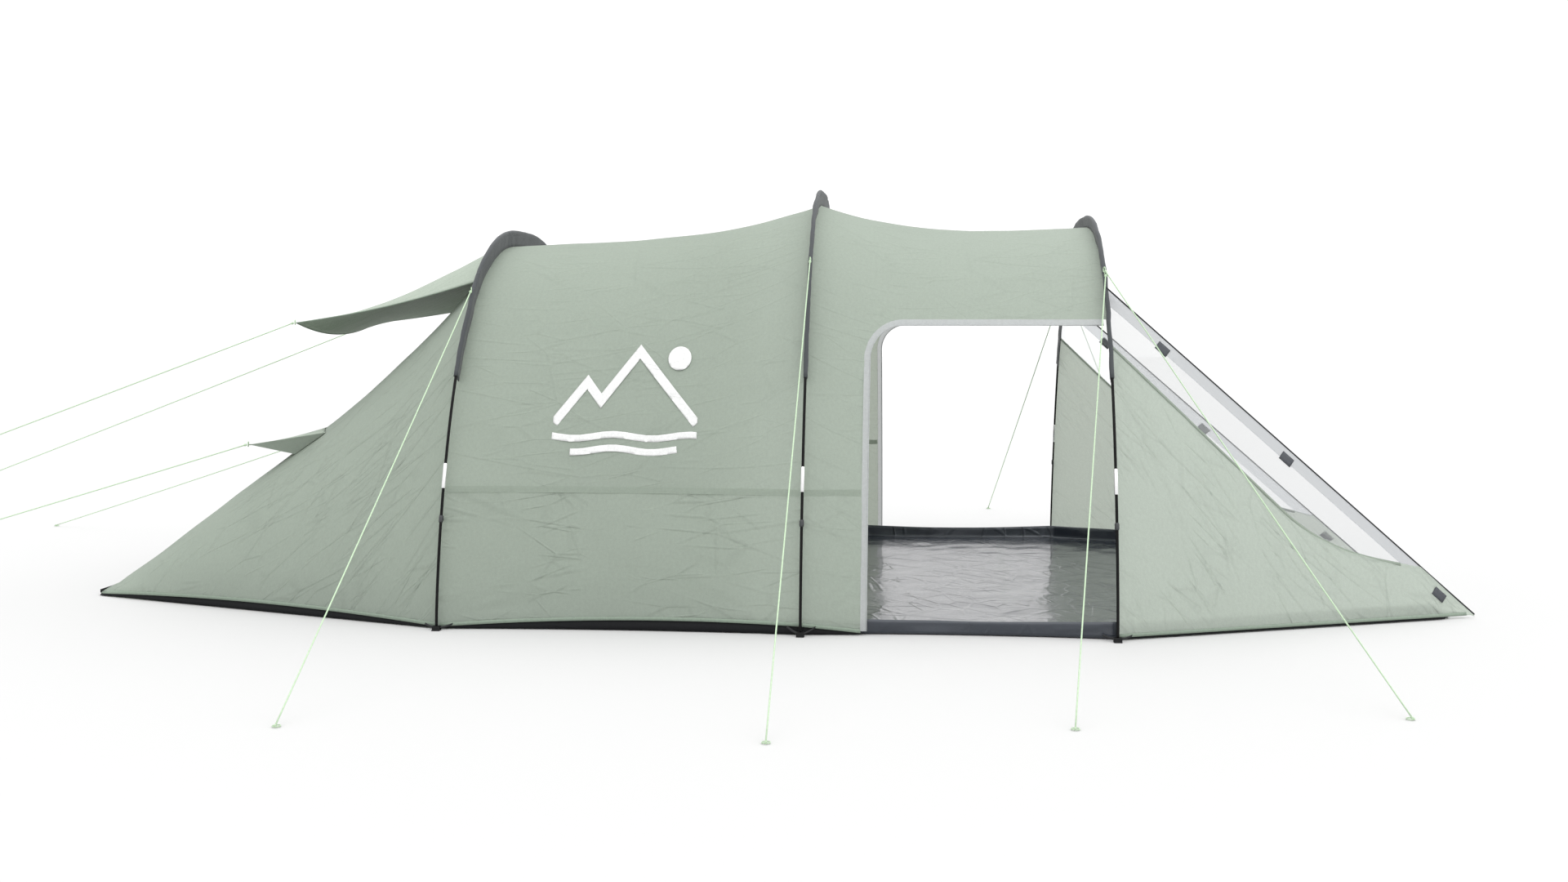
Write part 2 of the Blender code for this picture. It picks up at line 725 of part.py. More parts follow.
def main():
    clear_scene()
    group = make_collection(COLLECTION)
    cutters = make_collection("cutters")
    materials = make_materials()
    for name in HOOP_X:
        build_rods(name, materials, group)
        fill_sleeve(name, build_sleeve(name, materials, group), materials, group)
        for side in ("near", "far"):
            build_foot(name, side, materials, group)
    build_nose(materials, group)
    build_rear_bay(materials, group)
    build_front_bay(materials, group, cutters)
    build_door_trims(materials, group)
    build_hood(materials, group)
    build_flap(materials, group)
    build_wing(materials, group)
    build_floors(materials, group)
    build_inner(materials, group)
    build_guys(materials, group)


main()
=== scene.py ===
"""The tunnel tent pitched on a plain white studio floor.

Sizes are in metres, in the CAD's frame: the tent lies along X with its porch at +X, and is
symmetric about the XZ plane. "near" is its side at -Y, and "far" the mirrored one.
"""

import math

import bmesh
import bpy
import numpy as np
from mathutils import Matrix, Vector


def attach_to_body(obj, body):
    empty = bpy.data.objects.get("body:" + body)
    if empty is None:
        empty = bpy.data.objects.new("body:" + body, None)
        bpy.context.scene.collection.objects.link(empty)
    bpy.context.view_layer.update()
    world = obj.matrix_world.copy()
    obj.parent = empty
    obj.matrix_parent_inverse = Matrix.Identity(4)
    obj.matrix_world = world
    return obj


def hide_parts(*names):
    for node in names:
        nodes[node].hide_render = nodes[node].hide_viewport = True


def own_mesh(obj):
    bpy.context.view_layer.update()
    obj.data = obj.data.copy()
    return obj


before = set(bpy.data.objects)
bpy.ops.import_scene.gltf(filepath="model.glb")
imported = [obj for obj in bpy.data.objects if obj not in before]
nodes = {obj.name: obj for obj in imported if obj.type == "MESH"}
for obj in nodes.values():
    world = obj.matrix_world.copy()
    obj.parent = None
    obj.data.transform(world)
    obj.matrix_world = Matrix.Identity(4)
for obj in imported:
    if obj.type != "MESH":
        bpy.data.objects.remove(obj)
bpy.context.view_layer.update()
scene = bpy.context.scene

# ---- camera ----
CAMERA_TILT = 4.42  # degrees below level
CAMERA_TURN = 4.91  # degrees to the left of straight across the tent

camera = bpy.data.objects.new("camera", bpy.data.cameras.new("camera"))
camera.data.lens = 35.0
camera.data.sensor_width = 36.0
camera.location = (0.545, -5.988, 0.999)
camera.rotation_euler = (math.radians(90.0 - CAMERA_TILT), 0.0, math.radians(CAMERA_TURN))
scene.collection.objects.link(camera)
scene.camera = camera

# ---- the tent's shape, as in the CAD ----
HOOP_X = {"rear": -1.005, "middle": 0.185, "front": 1.185}
HOOP_HEIGHT = {"rear": 1.352, "middle": 1.499, "front": 1.397}
HOOP_HALF_WIDTH = 1.193
HOOP_EXPONENTS = (2.79, 1.41)
END_X = 2.445
REAR_HALF_WIDTH = 0.680
FRONT_HALF_WIDTH = 0.683
FERRULE_Z = (0.455, 0.535)
SLEEVE_END_Z = 0.82
FLY_DROP = {"rear": 0.054, "middle": 0.050, "front": 0.036}
FLY_HALF_WIDTH = 1.172
FLY_EXPONENTS = (2.70, 1.41)
FLY_WAIST = 0.100
# how deep the roof hangs ahead of each hoop, and how much that changes towards the next one
ROOF_DIP = {"rear": (0.090, 0.180), "middle": (0.277, -0.144)}
# x, hem height there, and how much further the hem lifts midway to the next place
HEM_LINE = (
    (-2.445, 0.010, 0.022),
    (-1.005, 0.010, 0.016),
    (0.185, 0.030, 0.0),
    (0.375, 0.010, 0.0),
    (2.445, 0.010, 0.0),
)
SEAM_Z = 0.450
DOOR_LEFT, DOOR_TOP, DOOR_CORNER = 0.375, 1.012, 0.130
DOOR_TRIM = 0.020
WING_TOP = (-0.757, 1.118)
WING_TIP_Z = 0.012
WING_SEAM = ((0.935, 0.000), (0.383, 0.580), (0.200, 0.900), (0.176, 1.060))
EDGE_STRIP = 0.052
NOSE_EXPONENTS = (3.11, 2.26)
NOSE_RISE = (1.28, -0.604, 0.709)  # level, slope and bend of the nose's crest
HOOD_TIP = (-1.770, 0.425, 1.000)
HOOD_DROOP = 0.045
HOOD_ROOT_Z = 1.150
HOOD_ROOT_X = HOOP_X["rear"] - 0.012
HOOD_PROUD = 0.016
HOOD_SAG = 0.016
FLAP_TIP = (-1.900, 0.570, 0.552)
FLAP_DROOP = 0.020
FLAP_ROOT = (-1.615, 0.560)  # x and half width of its seam on the nose
FLAP_ROOT_BOW = 0.125
TRAY_WALL = 0.055
GUY_RADIUS = 0.0021
GUY_END_Z = GUY_RADIUS + 0.0010

# ---- sizes of its parts ----
ROD_RADIUS = 0.00475
FERRULE_RADIUS = 0.0066
CLIP_Z = 0.357
DOUBLED_THICKNESS = 0.0012
HEM_THICKNESS = 0.0014
MUD_WALL_THICKNESS = 0.0010
TRAY_THICKNESS = 0.0009
SEAM_HALF = 0.010
STRAP_REACH = 0.046  # the foot's straps end this far behind and ahead of the hoop
GUSSET_FOOT = (0.130, 0.030)  # how far the vent's gussets run back and in along the nose
AWNING_CORD = {"hood": 0.0022, "flap": 0.0020}
ZIP_RADIUS = {"doorway": 0.0017, "inner": 0.0022}
WING_BINDING = 0.0026
FASTENING_Z = (0.935, 0.565, 0.105)
FASTENING_THICKNESS = 0.0024
SLEEVE_KNOT, GROUND_KNOT = 0.0048, 0.0034
GUY_EYE = (0.0085, 0.0018)  # radius of the eye, and of the cord that it is tied in
GUY_LOOP = (0.0100, 0.0015)
GROUNDSHEET_X = (0.060, 2.36)
INNER_FLOOR_X = (0.050, -2.25)
INNER_FRONT = 0.040  # x of the bedroom's front wall
INNER_GAP = (0.075, 0.085)  # from the fly in to the inner tent, at the sides and at the crest
INNER_BACK = -1.95
BACK_WALL = (0.24, 0.10, 0.012)  # how far it runs back, its taper, and how high its foot is
INNER_DOOR = (0.36, 0.80, 0.30)  # half width, and the spring and rise of the arch over it
ROLL_RADIUS = 0.0225
ROLL_TIES = {"near": -0.2, "far": 0.2}
PEG_Y = 1.17  # the fly is pulled to the ground here, at each hoop


def width_at(half_width, height, exponents, z):
    across, up = exponents
    share = min(max(z / height, 0.0), 1.0)
    return half_width * (1.0 - share**up) ** (1.0 / across)


def superellipse(half_width, height, exponents, start_z, end_z=None, count=60):
    """Points (y, z), even along the arch, from the near side at start_z over the crown."""
    across, up = exponents
    angle = np.linspace(0.0, math.pi, 4001)
    y = -half_width * np.sign(np.cos(angle)) * np.abs(np.cos(angle)) ** (2 / across)
    z = height * np.abs(np.sin(angle)) ** (2 / up)
    rising = angle <= math.pi / 2
    keep = z >= start_z if end_z is None else rising & (z >= start_z) & (z <= end_z)
    y, z = y[keep], z[keep]
    first, last = (start_z, start_z) if end_z is None else (start_z, end_z)
    ends = [width_at(half_width, height, exponents, value) for value in (first, last)]
    far_side = 1.0 if end_z is None else -1.0
    y = np.concatenate([[-ends[0]], y, [far_side * ends[1]]])
    z = np.concatenate([[first], z, [last]])
    length = np.concatenate([[0.0], np.cumsum(np.hypot(np.diff(y), np.diff(z)))])
    even = np.linspace(0.0, length[-1], count)
    return np.stack([np.interp(even, length, y), np.interp(even, length, z)], axis=1)


def steps(count):
    """Even shares from 0 to 1."""
    return np.linspace(0, 1, count)


def smooth_step(low, high, value):
    share = min(max((value - low) / (high - low), 0.0), 1.0)
    return share * share * (3 - 2 * share)


def fly_section(x):
    """Half width, crest height and exponents of the fly's cross-section at x."""
    if x < HOOP_X["rear"]:
        share = (HOOP_X["rear"] - x) / (HOOP_X["rear"] + END_X)
        level, slope, bend = NOSE_RISE
        crest = HOOP_HEIGHT["rear"] - FLY_DROP["rear"] - level
        crest += (1 - share) * (level + slope * share + bend * share * share)
        width = FLY_HALF_WIDTH + (REAR_HALF_WIDTH - FLY_HALF_WIDTH) * share
        pairs = zip(FLY_EXPONENTS, NOSE_EXPONENTS)
        return width, max(crest, 0.030), tuple(a + (b - a) * share for a, b in pairs)
    behind, ahead = ("rear", "middle") if x <= HOOP_X["middle"] else ("middle", "front")
    sag, lean = ROOF_DIP[behind]
    share = (x - HOOP_X[behind]) / (HOOP_X[ahead] - HOOP_X[behind])
    share = min(max(share, 0.0), 1.0)
    dip = share * (1 - share)
    start, end = (HOOP_HEIGHT[name] - FLY_DROP[name] for name in (behind, ahead))
    crest = start + (end - start) * share - dip * (sag + lean * share)
    return FLY_HALF_WIDTH - FLY_WAIST * dip, crest, FLY_EXPONENTS


def fly_half_width(x, z):
    return width_at(*fly_section(x), z)


def hem_height(x):
    for (low, start, rise), (high, end, _) in zip(HEM_LINE, HEM_LINE[1:]):
        if low <= x <= high:
            share = (x - low) / (high - low)
            return start + (end - start) * share + 4 * rise * share * (1 - share)
    return HEM_LINE[0][1]


def fly_rows(stations, low, high, count):
    """Arches of the fly at each x, from low or the hem, to high or over the crest."""
    rows = []
    for x in stations:
        width, crest, exponents = fly_section(x)
        start = min(low if low is not None else hem_height(x), crest * 0.5)
        run = superellipse(width, crest, exponents, start, high, count)
        rows.append([(x, y, z) for y, z in run])
    return np.array(rows)


def nose_height(x, y):
    """How high the nose's cloth is over a place on the ground."""
    width, crest, (across, up) = fly_section(x)
    share = min(abs(y) / width, 1.0)
    return crest * (1 - share**across) ** (1 / up)


def wing_edge(z):
    """The (x, y) of the wing's free edge at a height."""
    top_y, top_z = WING_TOP
    share = (z - WING_TIP_Z) / (top_z - WING_TIP_Z)
    x = END_X + (HOOP_X["front"] - END_X) * share
    return x, -FRONT_HALF_WIDTH + (top_y + FRONT_HALF_WIDTH) * share


def wing_point(x, z):
    """The near wing's surface: ruled from the front hoop to the free edge."""
    edge_x, edge_y = wing_edge(z)
    hoop_x = HOOP_X["front"]
    share = min(max((x - hoop_x) / max(edge_x - hoop_x, 1e-6), 0.0), 1.0)
    rear = -fly_half_width(hoop_x, z)
    return (x, rear + (edge_y - rear) * share, z)


def wing_edge_height(x):
    share = (END_X - x) / (END_X - HOOP_X["front"])
    return WING_TIP_Z + (WING_TOP[1] - WING_TIP_Z) * share


def wing_seam_height(x):
    """The seam under the window: straight from the hoop, then curving out to level."""
    (z0, _), (z1, x1), _, (z3, x3) = WING_SEAM
    past = x - HOOP_X["front"]
    if past <= x1:
        return z0 + (z1 - z0) * past / x1
    steep = (z1 - z0) / x1
    share = min((past - x1) / (x3 - x1), 1.0)
    level = z1 + steep * (x3 - x1) * (share - share**2 / 2 - share * share * (1 - share) * 0.35)
    settle = z1 + steep * (x3 - x1) * 0.5
    return level + (z3 - settle) * share * share


def door_outline(inset, turns=14):
    """The doorway's edge as (x, z): up its left side, round the corner, along its top."""
    left, top = DOOR_LEFT + inset, DOOR_TOP - inset
    radius = DOOR_CORNER - inset
    points = [(left, z) for z in np.linspace(0.0, top - radius, 12)]
    for turn in range(1, turns + 1):
        angle = math.pi / 2 * turn / turns
        spot = (left + radius - radius * math.cos(angle), top - radius + radius * math.sin(angle))
        points.append(spot)
    for x in np.linspace(points[-1][0], HOOP_X["front"] - 0.012, 10)[1:]:
        points.append((x, top))
    return points


# ---- materials ----
def linear(red, green, blue):
    """An 8-bit display colour as the linear colour that a shader takes."""
    out = []
    for value in (red, green, blue):
        value /= 255.0
        out.append(value / 12.92 if value <= 0.04045 else ((value + 0.055) / 1.055) ** 2.4)
    return (*out, 1.0)


class Shader:
    """A Principled material with short helpers for its nodes."""

    def __init__(self, name, colour, roughness, **sockets):
        self.material = bpy.data.materials.new(name)
        self.material.use_nodes = True
        self.tree = self.material.node_tree
        self.shader = self.tree.nodes["Principled BSDF"]
        self.colour = colour
        self.set("Base Color", colour)
        self.set("Roughness", roughness)
        for socket, value in sockets.items():
            self.set(socket.replace("_", " "), value)
        self.place = self.node("TexCoord", {}).outputs["UV"]
        self.relief = {}

    def set(self, socket, value):
        self.shader.inputs[socket].default_value = value

    def node(self, kind, inputs, **settings):
        """A new node. Each input is a value, or another node's output to link to it."""
        node = self.tree.nodes.new(f"ShaderNode{kind}")
        for key, value in settings.items():
            setattr(node, key, value)
        for socket, value in inputs.items():
            if isinstance(value, bpy.types.NodeSocket):
                self.link(value, node.inputs[socket])
            else:
                node.inputs[socket].default_value = value
        return node

    def link(self, start, end):
        self.tree.links.new(start, end)

    def mapped(self, stretch, turn):
        """The cloth's own coordinates, turned and then multiplied by stretch."""
        scale = [1 / share for share in stretch]
        inputs = {"Vector": self.place, "Scale": scale, "Rotation": (0.0, 0.0, turn)}
        return self.node("Mapping", inputs, vector_type="TEXTURE").outputs["Vector"]

    def noise(self, scale, detail=2.0, distortion=0.0, kind="FBM", stretch=(1, 1, 1), turn=0.0):
        inputs = {"Scale": scale, "Detail": detail, "Distortion": distortion}
        inputs["Vector"] = self.mapped(stretch, turn)
        return self.node("TexNoise", inputs, noise_type=kind).outputs["Fac"]

    def wave(self, scale, direction):
        inputs = {"Scale": scale, "Vector": self.place}
        return self.node("TexWave", inputs, bands_direction=direction).outputs["Fac"]

    def times(self, first, second):
        return self.node("Math", {0: first, 1: second}, operation="MULTIPLY").outputs["Value"]

    def remap(self, factor, low, high, start=0.0, stop=1.0, kind="LINEAR"):
        """Stretches start to stop into low to high."""
        inputs = {"From Min": start, "From Max": stop, "To Min": low, "To Max": high}
        inputs["Value"] = factor
        return self.node("MapRange", inputs, interpolation_type=kind).outputs["Result"]

    def bump(self, height, distance, strength=1.0):
        """Adds a layer of relief, in metres, on top of the ones before it."""
        inputs = {"Height": height, "Distance": distance, "Strength": strength, **self.relief}
        self.relief = {"Normal": self.node("Bump", inputs).outputs["Normal"]}
        self.link(self.relief["Normal"], self.shader.inputs["Normal"])

    def lines(self, across, along, width, turn, rare):
        """Thin straight creases, broken off here and there.

        across and along are creases a metre, and turn is the lean from the second axis.
        """
        inputs = {"Scale": 1.0, "Vector": self.mapped((across, along, 1.0), turn)}
        web = self.node("TexVoronoi", inputs, feature="DISTANCE_TO_EDGE")
        crease = self.remap(web.outputs["Distance"], 1.0, 0.0, 0.0, width, "SMOOTHSTEP")
        patch = self.noise(2.6, 2.0, 0.4, "FBM", (1.6, 1.0, 1.0), turn + 1.1)
        return self.times(crease, self.remap(patch, 0.0, 1.0, rare, rare + 0.14, "SMOOTHSTEP"))

    def let_through(self, share, colour):
        """Thin cloth that daylight shows through."""
        glow = self.node("BsdfTranslucent", {"Color": colour, **self.relief}).outputs["BSDF"]
        mix = self.node("MixShader", {"Fac": share, 1: self.shader.outputs["BSDF"], 2: glow})
        self.link(mix.outputs["Shader"], self.tree.nodes["Material Output"].inputs["Surface"])

    def shade(self, factor, low, high, start=0.25, stop=0.75):
        """Colour that runs from low to high times the base, following factor."""
        source = self.shader.inputs["Base Color"]
        base = source.links[0].from_socket if source.is_linked else self.colour
        amount = self.remap(factor, low, high, start, stop)
        grey = self.node("CombineColor", {"Red": amount, "Green": amount, "Blue": amount})
        inputs = {"Factor": 1.0, 6: base, 7: grey.outputs["Color"]}
        mix = self.node("Mix", inputs, data_type="RGBA", blend_type="MULTIPLY")
        self.link(mix.outputs[2], source)

    def rough(self, factor, low, high):
        self.link(self.remap(factor, low, high), self.shader.inputs["Roughness"])


# creases a metre across and along, their width, lean and rarity; each crease is bumped and also painted
# darker as shade
CLOTH_CREASES = (
    (6.0, 1.5, 0.035, 0.12, 0.42),
    (9.0, 2.0, 0.040, -0.20, 0.44),
    (4.5, 2.2, 0.022, 0.50, 0.47),
    (14.0, 4.0, 0.060, -0.05, 0.45),
)
TRAY_FOLDS = ((7.0, 3.5, 0.60), (5.0, 3.0, -0.75), (11.0, 6.0, 1.3))


def woven(name, colour, roughness=0.75, crease=1.0, lean=0.0, through=None, **sockets):
    """Coated plain-weave cloth: fine threads, packing creases and slight unevenness.

    lean turns the creases, and through is (share, colour) of the daylight that comes through. crease scales
    the creases' relief and the painted shade along them.
    """
    cloth = Shader(name, colour, roughness, **sockets)
    crossed = cloth.times(cloth.wave(230.0, "X"), cloth.wave(230.0, "Y"))
    cloth.bump(cloth.noise(2.6, 2.0, 0.4), 0.008)
    cloth.bump(cloth.noise(1.0, 2.0, 0.3, "FBM", (9.0, 0.8, 1.0), lean), 0.0045)
    if crease:
        for across, along, width, turn, rare in CLOTH_CREASES:
            creases_and_their_shade = cloth.lines(across, along, width, lean + turn, rare)
            cloth.bump(creases_and_their_shade, 0.0016 * crease)
            # painted shade: the colour is darkened along each crease, by up to 5 % times crease
            cloth.shade(creases_and_their_shade, 1.0, 1.0 - 0.05 * crease, 0.0, 1.0)
    cloth.bump(crossed, 0.00012, 0.6)
    cloth.shade(cloth.noise(1.7, 3.0, 0.3), 0.97, 1.03)
    cloth.shade(cloth.noise(90.0, 2.0), 0.93, 1.07)
    cloth.shade(cloth.noise(240.0, 2.0), 0.92, 1.08)
    if through:
        cloth.let_through(*through)
    return cloth.material


def plastic(name, colour, roughness, grain=900.0, depth=0.00006, **sockets):
    part = Shader(name, colour, roughness, **sockets)
    part.bump(part.noise(grain, 2.0), depth)
    part.shade(part.noise(14.0, 3.0), 0.9, 1.1)
    part.rough(part.noise(30.0, 3.0), max(roughness - 0.1, 0.05), roughness + 0.12)
    return part.material


def webbing(name, colour, roughness=0.8):
    strap = Shader(name, colour, roughness)
    strap.bump(strap.wave(85.0, "Y"), 0.0004)
    strap.bump(strap.wave(150.0, "X"), 0.0002)
    strap.shade(strap.noise(90.0, 3.0), 0.85, 1.15)
    return strap.material


def braided(name, colour):
    cord = Shader(name, colour, 0.6)
    cord.bump(cord.times(cord.wave(170.0, "DIAGONAL"), cord.wave(120.0, "Y")), 0.0005)
    cord.shade(cord.noise(400.0, 1.0, 0.0, "FBM", (1, 0.3, 1)), 0.88, 1.12)
    return cord.material


def tray_weave(name, colour):
    """Coated slit-film weave: glossy, with sharp fold lines from being packed."""
    gloss = {"Specular_IOR_Level": 0.6, "Coat_Weight": 0.4, "Coat_Roughness": 0.1}
    sheet = Shader(name, colour, 0.2, **gloss)
    sheet.set("Specular Tint", (0.88, 0.94, 1.0, 1.0))
    sheet.bump(sheet.noise(1.9, 3.0, 0.8, "RIDGED_MULTIFRACTAL", (1.0, 2.0, 1.0), 0.2), 0.0025)
    for across, along, turn in TRAY_FOLDS:
        sheet.bump(sheet.lines(across, along, 0.08, turn, 0.44), 0.0020)
    sheet.bump(sheet.noise(26.0, 3.0, 0.6), 0.0011)
    sheet.bump(sheet.times(sheet.wave(95.0, "X"), sheet.wave(95.0, "Y")), 0.00016)
    sheet.shade(sheet.noise(2.4, 3.0), 0.9, 1.1)
    sheet.rough(sheet.noise(9.0, 4.0), 0.10, 0.24)
    return sheet.material


def clear_film(name, colour, alpha, share):
    """Clear or milky film: alpha is how much it hides, share what daylight comes through."""
    film = Shader(name, colour, 0.14, Alpha=alpha, Specular_IOR_Level=0.5)
    film.bump(film.noise(3.0, 2.0, 0.6, "RIDGED_MULTIFRACTAL"), 0.0016)
    film.bump(film.noise(40.0, 2.0), 0.00012)
    film.rough(film.noise(12.0, 3.0), 0.10, 0.22)
    film.let_through(share, tuple(min(1.08 * channel, 0.9) for channel in colour[:3]) + (1.0,))
    return film.material


def tube_metal(name, colour):
    metal = Shader(name, colour, 0.28, Metallic=0.85)
    metal.bump(metal.noise(300.0, 2.0, 0.0, "FBM", (1, 0.05, 1)), 0.00003)
    metal.rough(metal.noise(60.0, 3.0), 0.2, 0.42)
    metal.shade(metal.noise(50.0, 2.0), 0.94, 1.03)
    return metal.material


FLY_GREEN = (0.42, 0.486, 0.417, 1.0)
# painted light: the wings are the fly's cloth, painted lighter for the glow of light falling on them from
# both sides
WING_GREEN_PAINTED_LIGHTER = (0.52, 0.585, 0.515, 1.0)
SEAM_GREEN = (0.37, 0.43, 0.367, 1.0)
DAYLIGHT = (0.42, (0.56, 0.605, 0.53, 1.0))
# painted light: the daylight through the wings is painted lighter than the fly's
WING_DAYLIGHT_PAINTED_LIGHTER = (0.42, (0.62, 0.67, 0.60, 1.0))
TRIM_DAYLIGHT = (0.4, (0.7, 0.71, 0.71, 1.0))
INNER_DAYLIGHT = (0.3, (0.48, 0.49, 0.47, 1.0))

FLY = woven("fly_cloth", FLY_GREEN, 0.72, through=DAYLIGHT)
FLY_ROOF = woven("fly_roof_cloth", FLY_GREEN, 0.72, crease=0.55, through=DAYLIGHT)
# painted light: the same cloth as the fly, lighter in colour and in the daylight through it
FLY_WING_PAINTED_LIGHTER = woven("fly_wing_cloth", WING_GREEN_PAINTED_LIGHTER, 0.72, 1.0, 0.6, through=WING_DAYLIGHT_PAINTED_LIGHTER)
FLY_OUTSIDE = woven("fly_awning_cloth", linear(154, 165, 152), 0.72)
# the awnings' lining is the fly's cloth painted darker: painted shade under the hood and the flap
FLY_LINING_PAINTED_SHADE = woven("fly_lining_painted_shade", linear(112, 128, 108), 0.6, crease=0.5)
SEAM = woven("seam_tape", SEAM_GREEN, 0.7, crease=0.0, through=DAYLIGHT)
BINDING = woven("hem_binding", linear(128, 142, 128), 0.75, crease=0.0)
SLEEVE = woven("sleeve_cloth", linear(58, 62, 65), 0.75, crease=0.5, Sheen_Weight=0.12)
# the black mud wall: a dark cloth that is partly painted shade, standing for the shade in the gap under the
# hem
BLACK_CLOTH_AND_SHADE = woven("mud_wall_cloth", linear(24, 25, 27), 0.7, 0.5, Specular_IOR_Level=0.2)
TRIM = woven("trim_tape", linear(194, 198, 198), 0.65, crease=0.2, through=TRIM_DAYLIGHT)
PRINT = woven("print_ink", linear(216, 217, 216), 0.55, crease=0.5)
INNER = woven("inner_cloth", linear(172, 174, 167), 0.85, through=INNER_DAYLIGHT)
INNER_SHADE = woven("inner_skirt_cloth", linear(104, 108, 106), 0.85, crease=0.5)
FILM = clear_film("window_film", linear(232, 234, 236), 0.15, 0.25)
STRIP = clear_film("edge_strip_film", linear(204, 207, 210), 0.64, 0.45)
GROUND = tray_weave("groundsheet_weave", linear(39, 43, 51))
TRAY = tray_weave("bedroom_floor_weave", linear(28, 29, 31))
ROD = plastic("glass_fibre_rod", linear(10, 10, 11), 0.4, Specular_IOR_Level=0.15)
FOOT = plastic("moulded_foot", linear(20, 21, 22), 0.5, 400.0, 0.0002, Specular_IOR_Level=0.25)
CLIP = plastic("moulded_clip", linear(52, 54, 56), 0.45, 500.0, 0.0001)
FERRULE = tube_metal("ferrule_tube", linear(236, 236, 236))
WEBBING = webbing("black_webbing", linear(38, 39, 41))
TAB = webbing("tab_webbing", linear(70, 73, 78))
GUY = braided("guy_cord", linear(186, 210, 178))


# ---- builders ----
def add_mesh(name, points, faces, materials, marks=None, uvs=None, flat=()):
    mesh = bpy.data.meshes.new(name)
    mesh.from_pydata([tuple(map(float, p)) for p in points], [], faces)
    for material in materials:
        mesh.materials.append(material)
    if marks is not None:
        mesh.polygons.foreach_set("material_index", marks)
    smooth = np.ones(len(mesh.polygons), dtype=bool)
    smooth[list(flat)] = False
    mesh.polygons.foreach_set("use_smooth", smooth)
    if uvs is not None:
        layer = mesh.uv_layers.new(name="metres")
        corner = np.empty(len(mesh.loops), dtype=int)
        mesh.loops.foreach_get("vertex_index", corner)
        layer.data.foreach_set("uv", np.asarray(uvs)[corner].ravel())
    mesh.update()
    item = bpy.data.objects.new(name, mesh)
    scene.collection.objects.link(item)
    return item


def grid_normals(rows):
    normal = np.cross(np.gradient(rows, axis=0), np.gradient(rows, axis=1))
    size = np.linalg.norm(normal, axis=2, keepdims=True)
    return normal / np.maximum(size, 1e-12)


def cloth(name, rows, outer, inner=None, toward=(0, 0, 1), thickness=0.0, relief=None, lift=0.0, keep=None):
    """A sheet through a grid of points: one layer, or with a thickness a closed one.

    A closed sheet can have its own inner face. keep says which of the grid's cells are cloth.
    """
    rows = np.asarray(rows, dtype=float)
    count_rows, count_columns = rows.shape[:2]
    normal = grid_normals(rows)
    middle = normal[count_rows // 2, count_columns // 2]
    flip = float(np.dot(middle, toward)) < 0
    if flip:
        normal = -normal
    if relief is not None:
        rows = rows + normal * relief[..., None]
    rows = rows + normal * lift
    half = normal * (thickness / 2)
    points = np.concatenate([(rows + half).reshape(-1, 3), (rows - half).reshape(-1, 3)])
    step = count_rows * count_columns
    grid = np.arange(step).reshape(count_rows, count_columns)
    a, b = grid[:-1, :-1].ravel(), grid[:-1, 1:].ravel()
    c, d = grid[1:, 1:].ravel(), grid[1:, :-1].ravel()
    top = np.stack([a, d, c, b] if not flip else [a, b, c, d], axis=1)
    if keep is not None:
        top = top[keep.ravel()]
    under = top[:, ::-1] + step if thickness else top[:0]
    edges = {pair for quad in top.tolist() for pair in zip(quad, quad[1:] + quad[:1])}
    rim = sorted(edge for edge in edges if edge[::-1] not in edges)
    sides = [(end, start, start + step, end + step) for start, end in rim] if thickness else []
    faces = [*map(tuple, top.tolist()), *map(tuple, under.tolist()), *sides]
    marks = [0] * len(top) + [1 if inner else 0] * len(under) + [0] * len(sides)
    u = np.cumsum(np.linalg.norm(np.diff(rows, axis=1, prepend=rows[:, :1]), axis=2), axis=1)
    u = u - u[:, -1:] / 2
    v = np.cumsum(np.linalg.norm(np.diff(rows, axis=0, prepend=rows[:1]), axis=2), axis=0)
    v = np.broadcast_to(v.mean(axis=1, keepdims=True), u.shape)
    flat_uv = np.stack([u.ravel(), v.ravel()], axis=1)
    uvs = np.concatenate([flat_uv, flat_uv])
    first_side = len(top) + len(under)
    used = np.unique([corner for face in faces for corner in face])
    number = np.full(2 * step, -1)
    number[used] = np.arange(len(used))
    faces = [tuple(number[list(face)].tolist()) for face in faces]
    materials = [outer, inner] if inner else [outer]
    sharp = range(first_side, len(faces))
    item = add_mesh(name, points[used], faces, materials, marks, uvs[used], sharp)
    if thickness:
        orient(item)
    return item


def orient(item):
    """Makes the faces of a closed mesh look outwards."""
    data = bmesh.new()
    data.from_mesh(item.data)
    if data.calc_volume(signed=True) < 0:
        bmesh.ops.reverse_faces(data, faces=data.faces)
        data.to_mesh(item.data)
    data.free()


def tube_faces(rings, sides):
    """Quads between rings of points, and a cap on each end."""
    faces = []
    for k in range(rings - 1):
        for j in range(sides):
            a, b = k * sides + j, k * sides + (j + 1) % sides
            faces.append((a, b, b + sides, a + sides))
    last = (rings - 1) * sides
    return [*faces, tuple(range(sides))[::-1], tuple(range(last, last + sides))]


